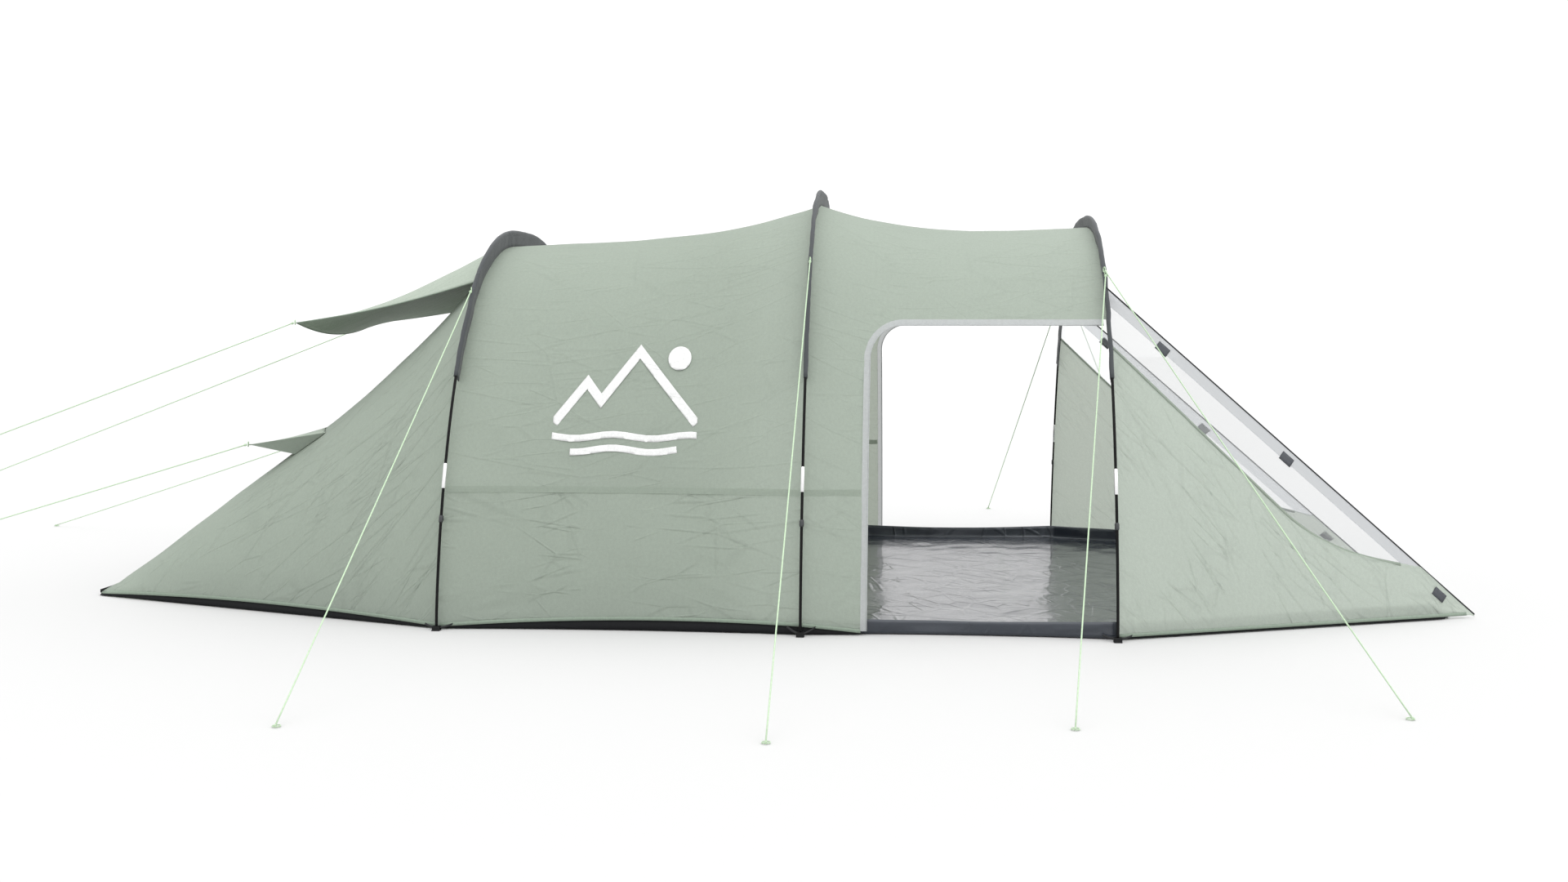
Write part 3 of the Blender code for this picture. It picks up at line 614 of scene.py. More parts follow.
def tube(name, path, radius, material, sides=12):
    """A round bar along a path; radius is one size, or one for each point."""
    path = np.asarray(path, dtype=float)
    sizes = np.broadcast_to(np.asarray(radius, dtype=float), (len(path),))
    tangent = np.gradient(path, axis=0)
    tangent /= np.linalg.norm(tangent, axis=1, keepdims=True)
    guide = Vector((0, 0, 1)) if abs(tangent[0][2]) < 0.9 else Vector((1, 0, 0))
    side = Vector(tangent[0]).cross(guide).normalized()
    points, uvs = [], []
    travelled = 0.0
    for k, (centre, forward, size) in enumerate(zip(path, tangent, sizes)):
        forward = Vector(forward)
        side = (side - forward * side.dot(forward)).normalized()
        up = forward.cross(side)
        travelled += 0.0 if k == 0 else float(np.linalg.norm(path[k] - path[k - 1]))
        for j in range(sides):
            angle = 2 * math.pi * j / sides
            spot = side * math.cos(angle) * size + up * math.sin(angle) * size
            points.append(Vector(centre) + spot)
            uvs.append((angle * size, travelled))
    faces = tube_faces(len(path), sides)
    item = add_mesh(name, points, faces, [material], None, uvs, (len(faces) - 2, len(faces) - 1))
    orient(item)
    return item


def waves(points, wavelength, seed, count=14):
    """Smooth uneven waves over an array of points, about -1 to 1."""
    random = np.random.default_rng(seed)
    total = np.zeros(points.shape[:-1])
    for _ in range(count):
        direction = random.normal(size=3)
        direction /= np.linalg.norm(direction)
        reach = wavelength * random.uniform(0.6, 1.6)
        total += np.sin(points @ direction * (2 * math.pi / reach) + random.uniform(0, 2 * math.pi))
    return total / math.sqrt(count)


def fans(points, anchors):
    """Tension creases that spread from points where the cloth is pulled.

    Each anchor is (x, y, z, reach, creases, height).
    """
    total = np.zeros(points.shape[:-1])
    for x, y, z, reach, creases, height in anchors:
        offset = points - np.array([x, y, z])
        distance = np.linalg.norm(offset, axis=-1)
        angle = np.arctan2(offset[..., 2], offset[..., 0] + 0.35 * np.abs(offset[..., 1]))
        wander = 0.5 * waves(points, reach, int(1000 * abs(x + z)) + 3, 5)
        fade = np.exp(-distance / reach) * np.minimum(distance / 0.06, 1.0)
        total += height * fade * np.sin(angle * creases + wander * 2.0)
    return total


def slack(rows, seed, swell=0.0016, edge=0.08, anchors=()):
    """Height of the slack in a sewn panel: none along its edges, a few millimetres inside."""
    rows = np.asarray(rows, dtype=float)
    u = steps(rows.shape[0])[:, None]
    v = steps(rows.shape[1])[None, :]
    calm = np.clip(np.minimum(u, 1 - u) / edge, 0, 1) * np.clip(np.minimum(v, 1 - v) / 0.04, 0, 1)
    loose = swell * (waves(rows, 0.55, seed) + 0.45 * waves(rows, 0.17, seed + 1))
    return calm * loose + np.clip(calm * 3, 0, 1) * fans(rows, anchors)


def far(rows):
    """The points mirrored to the far side."""
    rows = np.array(rows, dtype=float)
    rows[..., 1] *= -1
    return rows


# what turns the near side's points into this side's, and the sign of y on this side
SIDES = {"near": (np.array, -1), "far": (far, 1)}


def attach(item, body, stands_for=None):
    """The piece rides on a body, and may stand for a CAD node."""
    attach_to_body(item, body)
    if stands_for:
        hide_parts(stands_for)
    return item


def fold(item, end, stands_for=None):
    """The piece rides on the tent; a piece that belongs to an end gets a mesh of its own."""
    attach(item, "tent", stands_for)
    if end:
        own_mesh(item)
    return item


def panel(node, rows, outer, end, rests_on=(), slot="fly", held="stretched", kind="cloth", **shape):
    """A sheet of cloth. It stands for its CAD node, if any."""
    item = cloth(f"{node}_{kind}", rows, outer, **shape)
    fold(item, end, node if node in nodes else None)


def both_sides(name, rows, material, end, thickness=0.0):
    """The same narrow sheet on both sides; {} in its name stands for the side."""
    for side, (turned, sign) in SIDES.items():
        out = (0, sign, 0)
        item = cloth(name.format(side), turned(rows), material, None, out, thickness)
        node = item.name.removesuffix("_tape")
        fold(item, end, node if node in nodes else None)


# ---- guy lines ----
def guy_route(start, end, sag=0.004, count=24):
    """Points of a taut line: straight but for a slight sag."""
    a, b = Vector(start), Vector(end)
    points = []
    for share in steps(count):
        spot = a.lerp(b, share)
        spot.z -= 4 * sag * share * (1 - share)
        spot.z = max(spot.z, GUY_END_Z)
        points.append(tuple(spot))
    return points


def sleeve_spot(name, z, out=0.020):
    """Where a guy line starts: just outside the sleeve at this height."""
    y = -width_at(HOOP_HALF_WIDTH, HOOP_HEIGHT[name], HOOP_EXPONENTS, z)
    return (HOOP_X[name], y - out * 0.75, z + out * 0.55)


def ring(name, centre, radius, thick, material, normal):
    normal = Vector(normal).normalized()
    first = normal.orthogonal().normalized()
    second = normal.cross(first)
    path = []
    for k in range(21):
        angle = 2 * math.pi * k / 20 * 0.985
        path.append(Vector(centre) + (first * math.cos(angle) + second * math.sin(angle)) * radius)
    return tube(name, path, thick, material, 8)


def knot(name, at, toward, size, material):
    """A small overhand knot: a lump that tapers into the line at both ends."""
    step = (Vector(toward) - Vector(at)).normalized()
    path = [Vector(at) + step * size * s for s in (-0.2, 0.1, 0.5, 0.9, 1.3, 1.7, 2.1)]
    shape = [0.45, 0.8, 1.0, 0.85, 1.05, 0.7, 0.42]
    return tube(name, path, [size * s for s in shape], material, 10)


def awning_spot(tip):
    x, y, z = tip
    return (x - 0.012, -y, z)


# start, end on the ground, and the hoop that the line goes in with
GUYS = {
    "guy_rear": (sleeve_spot("rear", 1.100), (-1.028, -2.403, GUY_END_Z), "rear"),
    "guy_middle": (sleeve_spot("middle", 1.200), (0.197, -2.448, GUY_END_Z), None),
    "guy_front_back": (sleeve_spot("front", 1.150), (0.943, -2.262, GUY_END_Z), "front"),
    "guy_front_ahead": (sleeve_spot("front", 1.165), (1.802, -2.090, GUY_END_Z), "front"),
    "guy_hood": (awning_spot(HOOD_TIP), (-4.477, -0.591, GUY_END_Z), "rear"),
    "guy_flap": (awning_spot(FLAP_TIP), (-3.680, -1.150, GUY_END_Z), "rear"),
}


def build_guy(guy, side, route, gather):
    """A line with a knotted eye at its head and a knotted loop on the ground."""
    name = f"{guy}_{side}"
    line = tube(f"{name}_line", route, GUY_RADIUS, GUY, 10)
    head = knot(f"{name}_knot", route[0], route[1], SLEEVE_KNOT, GUY)
    run = (Vector(route[0]) - Vector(route[1])).normalized()
    eye = ring(f"{name}_eye", Vector(route[0]) + run * 0.007, *GUY_EYE, GUY, (1, 0.3, 0))
    foot = knot(f"{name}_loop_knot", route[-1] + [0, 0, 0.001], route[-2], GROUND_KNOT, GUY)
    away = Vector(route[-1]) - Vector(route[-2])
    away.z = 0
    loop_at = Vector(route[-1]) - away.normalized() * GUY_LOOP[0]
    loop_at.z = 2 * GUY_LOOP[1]
    loop = ring(f"{name}_loop", loop_at, *GUY_LOOP, GUY, (0, 0, 1))
    extra = [head, eye, foot, loop]
    fold(line, gather, name)
    for piece in extra:
        fold(piece, gather)


for guy, (start, end, gather) in GUYS.items():
    for side, (turned, _) in SIDES.items():
        build_guy(guy, side, turned(guy_route(start, end)), gather)


# ---- hoops ----
def hoop_line(name, start_z, end_z=None, count=60):
    height = HOOP_HEIGHT[name]
    run = superellipse(HOOP_HALF_WIDTH, height, HOOP_EXPONENTS, start_z, end_z, count)
    return np.array([(HOOP_X[name], y, z) for y, z in run])


def build_sleeve(name):
    """The sleeve's fin: round over the rod, then drawn in to the seam on the fly."""
    pole = hoop_line(name, SLEEVE_END_Z, None, 130)
    width, crest, exponents = fly_section(HOOP_X[name])
    skin = superellipse(width + 0.001, crest + 0.001, exponents, 0.60, None, 500)
    wobble = 0.0012 * waves(pole, 0.22, 5) + 0.0007 * waves(pole, 0.06, 6)
    swell = 1.0 + 0.05 * waves(pole, 0.10, 8)
    points, uvs, travelled = [], [], 0.0
    for k, spot in enumerate(pole):
        run = pole[min(k + 1, len(pole) - 1)] - pole[max(k - 1, 0)]
        run = run / np.linalg.norm(run)
        inward = np.array([0.0, run[2], -run[1]])
        reach = float(np.linalg.norm(skin - spot[1:], axis=1).min())
        travelled += 0.0 if k == 0 else float(np.linalg.norm(pole[k] - pole[k - 1]))
        radius = 0.0075 * swell[k]
        deep = max(reach + 0.002, 0.013)
        profile = []
        for turn in range(9):
            angle = math.pi * turn / 8
            profile.append((radius * math.cos(angle), -radius * math.sin(angle)))
        for share in (0.25, 0.5, 0.75, 1.0):
            profile.append((-radius * (1 - share) ** 1.6 - 0.0012, deep * share))
        profile += [(-u, v) for u, v in profile[9:]][::-1]
        around = 0.0
        for u, v in profile:
            lean = wobble[k] * min(max(v / 0.02 + 1.0, 0.0), 1.0)
            points.append(spot + np.array([u + lean, 0, 0]) + inward * v)
            around += 0.004
            uvs.append((around, travelled))
    faces = tube_faces(len(pole), len(profile))
    caps = (len(faces) - 2, len(faces) - 1)
    item = add_mesh(f"sleeve_{name}_cloth", points, faces, [SLEEVE], None, uvs, caps)
    orient(item)
    return item


def ribbon(points, offset, columns=3):
    """Each point and the same point moved by offset, with a few columns between."""
    points, offset = np.asarray(points, dtype=float), np.asarray(offset, dtype=float)
    return np.stack([points + offset * share for share in steps(columns)], axis=1)


def build_clip(name, side, body):
    """The clip on the rod and the webbing tab that ties it to the fly."""
    turned, sign = SIDES[side]
    grip = turned(hoop_line(name, CLIP_Z - 0.011, CLIP_Z + 0.011, 5))
    clip = tube(f"clip_{name}_{side}", grip, [0.0062, 0.0076, 0.0072, 0.0076, 0.0062], CLIP, 14)
    attach(clip, body)
    rod_y = float(grip[2][1])
    cloth_y = sign * (fly_half_width(HOOP_X[name], CLIP_Z) + 0.001)
    shares = (0.2, 0.6, 1.0)
    span = [(HOOP_X[name], rod_y + (cloth_y - rod_y) * s, CLIP_Z - 0.008) for s in shares]
    strap = ribbon(span, (0, 0, 0.016))
    tab = cloth(f"clip_tab_{name}_{side}", strap, WEBBING, None, (1, 0, 0), 0.0016)
    attach(tab, body)


def build_foot_straps(name, side, body):
    """Two straps that run from the foot up to the fly's hem."""
    sign = SIDES[side][1]
    hem_z = 0.014 if name != "middle" else 0.024
    for label, reach in (("behind", -STRAP_REACH), ("ahead", STRAP_REACH)):
        start = Vector((HOOP_X[name] + reach * 0.20, sign * HOOP_HALF_WIDTH - sign * 0.004, 0.0058))
        end = Vector((HOOP_X[name] + reach, sign * PEG_Y, hem_z))
        run = []
        for share in steps(7):
            dip = Vector((0, 0, 0.002 * math.sin(math.pi * share)))
            run.append(tuple(start.lerp(end, share) - dip))
        strap = ribbon(run, (0.002, 0, 0.007))
        name_of_strap = f"foot_strap_{name}_{side}_{label}"
        attach(cloth(name_of_strap, strap, WEBBING, None, (0, sign, 1), 0.0014), body)


def build_hoop(name):
    body = "tent" if name == "middle" else f"hoop_{name}"
    attach(build_sleeve(name), body, f"sleeve_{name}")
    low, high = FERRULE_Z
    bottom, top = (hoop_line(name, z, z + 0.001, 2)[0] for z in (low, high))
    joint = (bottom + top) / 2
    # the rods meet inside the ferrule
    arch = hoop_line(name, high, None, 150)
    arch = np.concatenate([[joint + [0, 0, 0.0003]], arch, [joint * [1, -1, 1] + [0, 0, 0.0003]]])
    rod = tube(f"rod_{name}_arch_bar", arch, ROD_RADIUS, ROD, 14)
    attach(rod, body, f"rod_{name}_arch")
    leg_line = np.concatenate([hoop_line(name, 0.0065, low, 24), [joint - [0, 0, 0.0003]]])
    axis = (top - bottom) / np.linalg.norm(top - bottom)
    line = np.array([bottom, bottom + axis * 0.0012, joint, top - axis * 0.0012, top])
    lip = FERRULE_RADIUS - 0.0010
    shape = [lip, FERRULE_RADIUS, FERRULE_RADIUS, FERRULE_RADIUS, lip]
    for side, (turned, _) in SIDES.items():
        leg = tube(f"rod_{name}_leg_{side}_bar", turned(leg_line), ROD_RADIUS, ROD, 14)
        attach(leg, body, f"rod_{name}_leg_{side}")
        ferrule = tube(f"ferrule_{name}_{side}_tube", turned(line), shape, FERRULE, 20)
        attach(ferrule, body, f"ferrule_{name}_{side}")
        build_clip(name, side, body)
        for place in nodes[f"foot_{name}_{side}"].material_slots:
            place.material = FOOT
        build_foot_straps(name, side, body)


for name in HOOP_X:
    build_hoop(name)


# ---- fly ----
def hem_anchors(*stations, spread=(0.30, 26, 0.0022)):
    """Where the fly is pulled down to the ground beside a hoop, on both sides."""
    return [(x, sign * PEG_Y, 0.03, *spread) for x in stations for sign in (-1, 1)]


def build_rear_bay():
    hoops = (HOOP_X["rear"], HOOP_X["middle"])
    stations = np.linspace(*hoops, 56)
    rows = fly_rows(stations, SEAM_Z, None, 150)
    pulls = [(x, sign * 1.02, 0.80, 0.22, 30, 0.0016) for x in hoops for sign in (-1, 1)]
    rods = ["rod_rear_arch_bar", "rod_middle_arch_bar"]
    relief = slack(rows, 11, anchors=pulls)
    panel("fly_rear_roof", rows, FLY_ROOF, "rear", rods, relief=relief)
    side_rows = fly_rows(stations, None, SEAM_Z, 40)
    for side, (turned, sign) in SIDES.items():
        rows = turned(side_rows)
        relief = slack(rows, 21, anchors=hem_anchors(*hoops))
        name, roof = f"fly_rear_side_{side}", ["fly_rear_roof_cloth"]
        panel(name, rows, FLY, "rear", roof, toward=(0, sign, 0), relief=relief)


def in_doorway(x, z):
    corner_x, corner_z = DOOR_LEFT + DOOR_CORNER, DOOR_TOP - DOOR_CORNER
    in_corner = (x < corner_x) & (z > corner_z)
    outside_arc = np.hypot(x - corner_x, z - corner_z) > DOOR_CORNER
    return (x > DOOR_LEFT) & (z < DOOR_TOP) & ~(in_corner & outside_arc)


def cut_doorway(rows):
    """Which cells stay; their stepped edge is pulled onto the doorway's smooth outline."""
    outline = np.array([*door_outline(0.001, 30), (HOOP_X["front"] + 0.02, DOOR_TOP - 0.001)])
    middles = (rows[:-1, :-1] + rows[1:, 1:]) / 2
    keep = ~in_doorway(middles[..., 0], middles[..., 2])
    touched = np.zeros(rows.shape[:2], dtype=int)
    for r, c in ((0, 0), (0, 1), (1, 0), (1, 1)):
        touched[r : r + keep.shape[0], c : c + keep.shape[1]] += np.where(keep, 1, 100)
    dense = []
    for a, b in zip(outline, outline[1:]):
        dense += [a + (b - a) * share for share in np.linspace(0, 1, 40, endpoint=False)]
    dense = np.array(dense)
    for r, c in np.argwhere((touched > 100) & (touched % 100 > 0)):
        x, y, z = rows[r, c]
        if z < 0.03:
            rows[r, c] = (outline[0][0], y, z)
            continue
        near = dense[np.argmin(np.hypot(dense[:, 0] - x, dense[:, 1] - z))]
        x = min(near[0], HOOP_X["front"])
        rows[r, c] = (x, math.copysign(fly_half_width(x, near[1]), y), near[1])
    return keep


def build_front_bay():
    stations = np.linspace(HOOP_X["middle"], HOOP_X["front"], 101)
    rows = fly_rows(stations, None, None, 300)
    keep = cut_doorway(rows)
    pulls = hem_anchors(HOOP_X["middle"])
    pulls += [(0.44, sign * 0.83, 0.98, 0.16, 22, 0.0014) for sign in (-1, 1)]
    relief = slack(rows, 31, anchors=pulls)
    rods = ["rod_middle_arch_bar", "rod_front_arch_bar"]
    panel("fly_front_bay", rows, FLY_ROOF, "front", rods, relief=relief, keep=keep)


def build_nose():
    start = HOOP_X["rear"]
    stations = start - (start + END_X) * steps(70)
    rows = fly_rows(stations, None, None, 150)
    pulls = hem_anchors(start, spread=(0.35, 26, 0.0022))
    pulls += [(-END_X, sign * 0.66, 0.02, 0.45, 20, 0.0020) for sign in (-1, 1)]
    relief = slack(rows, 41, 0.0020, anchors=pulls)
    panel("fly_nose", rows, FLY, "rear", ["rod_rear_arch_bar"], relief=relief)


def on_fly(x, z, proud):
    """A point that stands proud of the near side's cloth."""
    return (x, -fly_half_width(x, z) - proud, z)


def build_seams():
    """Felled seams: a narrow doubled band that lies on the cloth."""
    heights = (SEAM_Z - SEAM_HALF, SEAM_Z, SEAM_Z + SEAM_HALF)
    spans = {
        "side_seam": (HOOP_X["rear"] + 0.004, HOOP_X["middle"] - 0.004, 50, "rear"),
        "bay_seam": (HOOP_X["middle"] + 0.004, DOOR_LEFT - 0.002, 12, "front"),
    }
    for name, (low, high, count, end) in spans.items():
        line = [[on_fly(x, z, 0.0012) for z in heights] for x in np.linspace(low, high, count)]
        both_sides(name + "_{}", line, SEAM, end)


def edge_trims(span, hem, wall, end):
    """A stretch of bound hem and of the black mud wall that hangs behind it, which is partly painted shade
    of the gap under the hem.
    """
    both_sides(f"hem_{span}_{{}}", hem, BINDING, end, HEM_THICKNESS)
    wall_name = f"mud_wall_{span}_{{}}"
    both_sides(wall_name, wall, BLACK_CLOTH_AND_SHADE, end, MUD_WALL_THICKNESS)


def build_hems():
    """The fly's lower edge, from the nose to the side doorways, and across the rear."""
    spans = {
        "nose": (-END_X + 0.01, HOOP_X["rear"] - 0.004, "rear"),
        "rear_bay": (HOOP_X["rear"] + 0.004, HOOP_X["middle"] - 0.004, "rear"),
        "front_bay": (HOOP_X["middle"] + 0.004, DOOR_LEFT + 0.001, "front"),
    }
    for span, (low, high, end) in spans.items():
        bind, wall = [], []
        for x in np.linspace(low, high, 40):
            z = hem_height(x)
            if x < -2.3:
                z = min(z, fly_section(x)[1] * 0.5)
            bind.append([on_fly(x, h, 0.0014) for h in (z - 0.002, z + 0.004, z + 0.010)])
            wall.append([on_fly(x, h, -0.004) for h in (0.0022, z * 0.5, z + 0.006)])
        edge_trims(span, bind, wall, end)
    # the black mud wall across the rear is partly painted shade of the gap under the hem
    rear = []
    for y in np.linspace(-REAR_HALF_WIDTH + 0.012, REAR_HALF_WIDTH - 0.012, 30):
        drape = ((0.012, 0.0022), (0.006, 0.012), (0.006, 0.022))
        rear.append([(-END_X + inset, y, z) for inset, z in drape])
    piece = cloth("mud_wall_rear", rear, BLACK_CLOTH_AND_SHADE, None, (-1, 0, 0), MUD_WALL_THICKNESS)
    fold(piece, "rear")


def build_door_trims():
    rows = []
    for a, b in zip(np.array(door_outline(0.0)), np.array(door_outline(DOOR_TRIM))):
        row = []
        for share in steps(5):
            x, z = a + (b - a) * share
            row.append(on_fly(x, max(z, 0.014), 0.0012 + 0.0012 * math.sin(math.pi * share)))
        rows.append(row)
    both_sides("door_trim_{}_tape", rows, TRIM, "front")
    coil = [row[-1] for row in rows]
    for side, (turned, _) in SIDES.items():
        fold(tube(f"door_zip_{side}", turned(coil), ZIP_RADIUS["doorway"], TRIM, 8), "front")


build_rear_bay()
build_front_bay()
build_nose()
build_seams()
build_hems()
build_door_trims()


# ---- rear awnings ----
def awning(node, rows, relief, sewn_to):
    """Two layers of cloth, with the lining painted darker as the shade under the awning."""
    shape = {"inner": FLY_LINING_PAINTED_SHADE, "thickness": DOUBLED_THICKNESS, "relief": relief}
    panel(node, rows, FLY_OUTSIDE, "rear", [sewn_to], **shape)


def build_hood():
    tip_x, tip_y, tip_z = HOOD_TIP
    width, crest, exponents = fly_section(HOOP_X["rear"])
    size = (width + HOOD_PROUD, crest + HOOD_PROUD)
    root = superellipse(*size, exponents, HOOD_ROOT_Z, None, 61)
    rows = []
    for share in steps(36):
        row = []
        for k, (y, z) in enumerate(root):
            across = 2 * k / (len(root) - 1) - 1
            end = (tip_x, tip_y * across, tip_z - HOOD_DROOP * (1 - across * across))
            sag = HOOD_SAG * math.sin(math.pi * share)
            spot = [a + (b - a) * share for a, b in zip((HOOD_ROOT_X, y, z), end)]
            row.append((spot[0], spot[1], spot[2] - sag))
        rows.append(row)
    rows = np.array(rows)
    awning("hood_upper", rows, slack(rows, 51, 0.0014), "sleeve_rear_cloth")
    for label, line in (("rear", rows[-1]), ("near", rows[:, 0]), ("far", rows[:, -1])):
        fold(tube(f"hood_edge_{label}", line, AWNING_CORD["hood"], BINDING, 8), "rear")


def build_flap():
    """The lower flap, with a triangular gusset down to the nose at each side."""
    tip_x, tip_y, tip_z = FLAP_TIP
    root_x, half = FLAP_ROOT
    rows = []
    for share in steps(20):
        row = []
        for across in np.linspace(-1, 1, 45):
            x = root_x - FLAP_ROOT_BOW * (1 - across * across)
            y = half * across
            root = (x, y, nose_height(x, y) + 0.001)
            end = (tip_x, tip_y * across, tip_z - FLAP_DROOP * (1 - across * across))
            row.append(tuple(a + (b - a) * share for a, b in zip(root, end)))
        rows.append(row)
    rows = np.array(rows)
    awning("vent_flap_lower", rows, slack(rows, 61, 0.0010), "fly_nose_cloth")
    fold(tube("vent_flap_edge", rows[-1], AWNING_CORD["flap"], BINDING, 8), "rear")
    gusset = []
    for share, spot in zip(steps(20), rows[:, 0]):
        x = root_x - GUSSET_FOOT[0] * share
        y = -half + GUSSET_FOOT[1] * share
        foot = np.array([x, y, nose_height(x, y) + 0.001])
        gusset.append([spot + (foot - spot) * s for s in steps(8)])
    both_sides("vent_gusset_{}", gusset, FLY, "rear")


build_hood()
build_flap()


# ---- porch ----
WING_START = HOOP_X["front"] + 0.0005
WINDOW_END = HOOP_X["front"] + 1.0


def wing_grid():
    """The cloth under the window's seam, and past the window's end up to the free edge."""
    slope = (END_X - HOOP_X["front"]) / (WING_TOP[1] - WING_TIP_Z)
    seam_end = END_X - (WING_SEAM[3][0] - WING_TIP_Z) * slope
    rows = []
    for x in [*np.linspace(WING_START, seam_end, 70), *np.linspace(seam_end, END_X, 14)[1:]]:
        top = wing_edge_height(x)
        if x < seam_end:
            top = min(wing_seam_height(x), top)
        base = min(hem_height(x), 0.4 * top)
        rows.append([wing_point(x, base + (top - base) * s) for s in steps(46)])
    return np.array(rows)


def edge_strip_grid():
    strip = []
    for z in np.linspace(WING_TOP[1], WING_SEAM[3][0] + 0.004, 60):
        x, _ = wing_edge(z)
        low = max(z - EDGE_STRIP, wing_seam_height(x) - 0.004)
        strip.append([wing_point(x, z + (low - z) * share) for share in steps(6)])
    return strip


def window_grid():
    window = []
    for x in np.linspace(WING_START, WINDOW_END, 60):
        low, high = wing_seam_height(x) - 0.003, wing_edge_height(x) - EDGE_STRIP + 0.003
        high = max(high, low + 0.004)
        window.append([wing_point(x, low + (high - low) * share) for share in steps(10)])
    return window


def beside_wing(x, heights, out):
    return [np.array(wing_point(x, z)) + [0, -out, 0] for z in heights]


def wing_trims():
    """Grids of the window's seam, the bound hem and the black mud wall behind it, which is partly painted
    shade of the gap under the hem.
    """
    seam, hem, wall = [], [], []
    for x in np.linspace(WING_START, WINDOW_END, 70):
        z = wing_seam_height(x)
        seam.append(beside_wing(x, [z + d for d in (-0.009, -0.004, 0.001)], 0.0016))
    for x in np.linspace(WING_START + 0.004, END_X - 0.03, 60):
        z = min(hem_height(x), 0.4 * wing_edge_height(x))
        tall = min(0.011, 0.5 * (wing_edge_height(x) - z))
        hem.append(beside_wing(x, [z + d for d in (0.0, 0.5 * tall, tall)], 0.0014))
    for x in np.linspace(WING_START + 0.004, END_X - 0.11, 60):
        z = hem_height(x)
        wall.append(beside_wing(x, (0.0022, z * 0.5, z + 0.003), -0.004))
    return seam, hem, wall


def fastening_tab_grid(z):
    """A tab set in a little from the free edge, in line with it."""
    rows = []
    for along in np.linspace(-0.016, 0.016, 5):
        x, _ = wing_edge(z + along)
        row = []
        for down in np.linspace(0.018, 0.048, 4):
            spot = wing_point(x - down * 0.62, z + along - down * 0.70)
            row.append((spot[0], spot[1] - FASTENING_THICKNESS, spot[2]))
        rows.append(row)
    return rows


def build_wings():
    rows, strip, window = wing_grid(), edge_strip_grid(), window_grid()
    seam, hem, wall = wing_trims()
    edge = [(*wing_edge(z), z) for z in np.linspace(WING_TOP[1], WING_TIP_Z, 80)]
    pulls = [
        (HOOP_X["front"], -PEG_Y, 0.03, 0.34, 30, 0.0030),
        (HOOP_X["front"], -1.12, 0.36, 0.30, 26, 0.0022),
        (END_X, -0.68, 0.01, 0.40, 24, 0.0020),
    ]
    relief = slack(rows, 71, 0.0022, 0.05, pulls)
    for side, (turned, sign) in SIDES.items():
        out = {"toward": (0, sign, 0)}
        rod, wing = ["rod_front_arch_bar"], [f"wing_{side}_cloth"]
        panel(f"wing_{side}", turned(rows), FLY_WING_PAINTED_LIGHTER, "front", rod, relief=relief, **out)
        panel(f"window_{side}", turned(window), FILM, "front", wing, "window", kind="film", **out)
        binding = tube(f"wing_binding_{side}", turned(edge), WING_BINDING, WEBBING, 8)
        fold(binding, "front")
    both_sides("edge_strip_{}_tape", strip, STRIP, "front")
    both_sides("window_seam_{}", seam, SEAM, "front", DOUBLED_THICKNESS)
    edge_trims("wing", hem, wall, "front")
    for index, z in enumerate(FASTENING_Z):
        name, tab = f"fastening_tab_{{}}_{index}", fastening_tab_grid(z)
        both_sides(name, tab, TAB, "front", FASTENING_THICKNESS)


build_wings()


# ---- floors and bedroom ----
def tray_rows(stations, wall, seed, inset=0.016):
    """U-shaped sections, with walls turned up at both sides and a slightly rumpled floor."""
    rows = []
    for x in stations:
        if x <= HOOP_X["front"]:
            half = fly_half_width(x, 0.03) - inset
        else:
            half = -wing_point(x, 0.03)[1] - inset
        rise = wall(x)
        section = [(-half, rise * s) for s in (1.0, 0.75, 0.5, 0.25, 0.08)]
        section += [(y, 0.0) for y in np.linspace(-half + 0.006, half - 0.006, 110)]
        section += [(half, rise * s) for s in (0.08, 0.25, 0.5, 0.75, 1.0)]
        rows.append([(x, y, 0.0016 + z) for y, z in section])
    rows = np.array(rows)
    rumple = 0.0022 + 0.0011 * waves(rows, 0.5, seed) + 0.0009 * waves(rows, 0.14, seed + 1)
    inside = np.clip((1.10 - np.abs(rows[..., 1])) / 0.08, 0, 1) * (rows[..., 2] < 0.003)
    rows[..., 2] += np.clip(rumple, 0.0, 0.006) * inside
    lean = 0.0025 * waves(rows, 0.24, seed + 2) * (rows[..., 2] > 0.02)
    rows[..., 1] += lean * np.sign(rows[..., 1]) * -1
    return rows


def front_wall(x):
    """The tray's wall dips at the side doorway and is laid flat at the porch's mouth."""
    start, stop = HOOP_X["middle"], HOOP_X["front"]
    dip = 0.010 * math.sin(math.pi * (x - start) / (stop - start)) * (start < x < stop)
    return TRAY_WALL * (1 - 0.9 * smooth_step(2.28, 2.36, x)) - dip


def rear_wall(x):
    return TRAY_WALL * (1 - 0.8 * smooth_step(-2.00, -2.25, x))


def build_tray(node, rows, material, end):
    panel(node, rows, material, end, (), node, "laid", thickness=TRAY_THICKNESS)


rows = tray_rows(np.linspace(*GROUNDSHEET_X, 130), front_wall, 81)
build_tray("groundsheet", rows, GROUND, "front")
rows = tray_rows(np.linspace(*INNER_FLOOR_X, 90), rear_wall, 91)
build_tray("inner_floor", rows, TRAY, "rear")


def hang(node, rows, relief, rests_on, toward=(0, 0, 1)):
    panel(node, rows, INNER, "rear", [rests_on], "inner", "hung", toward=toward, relief=relief)


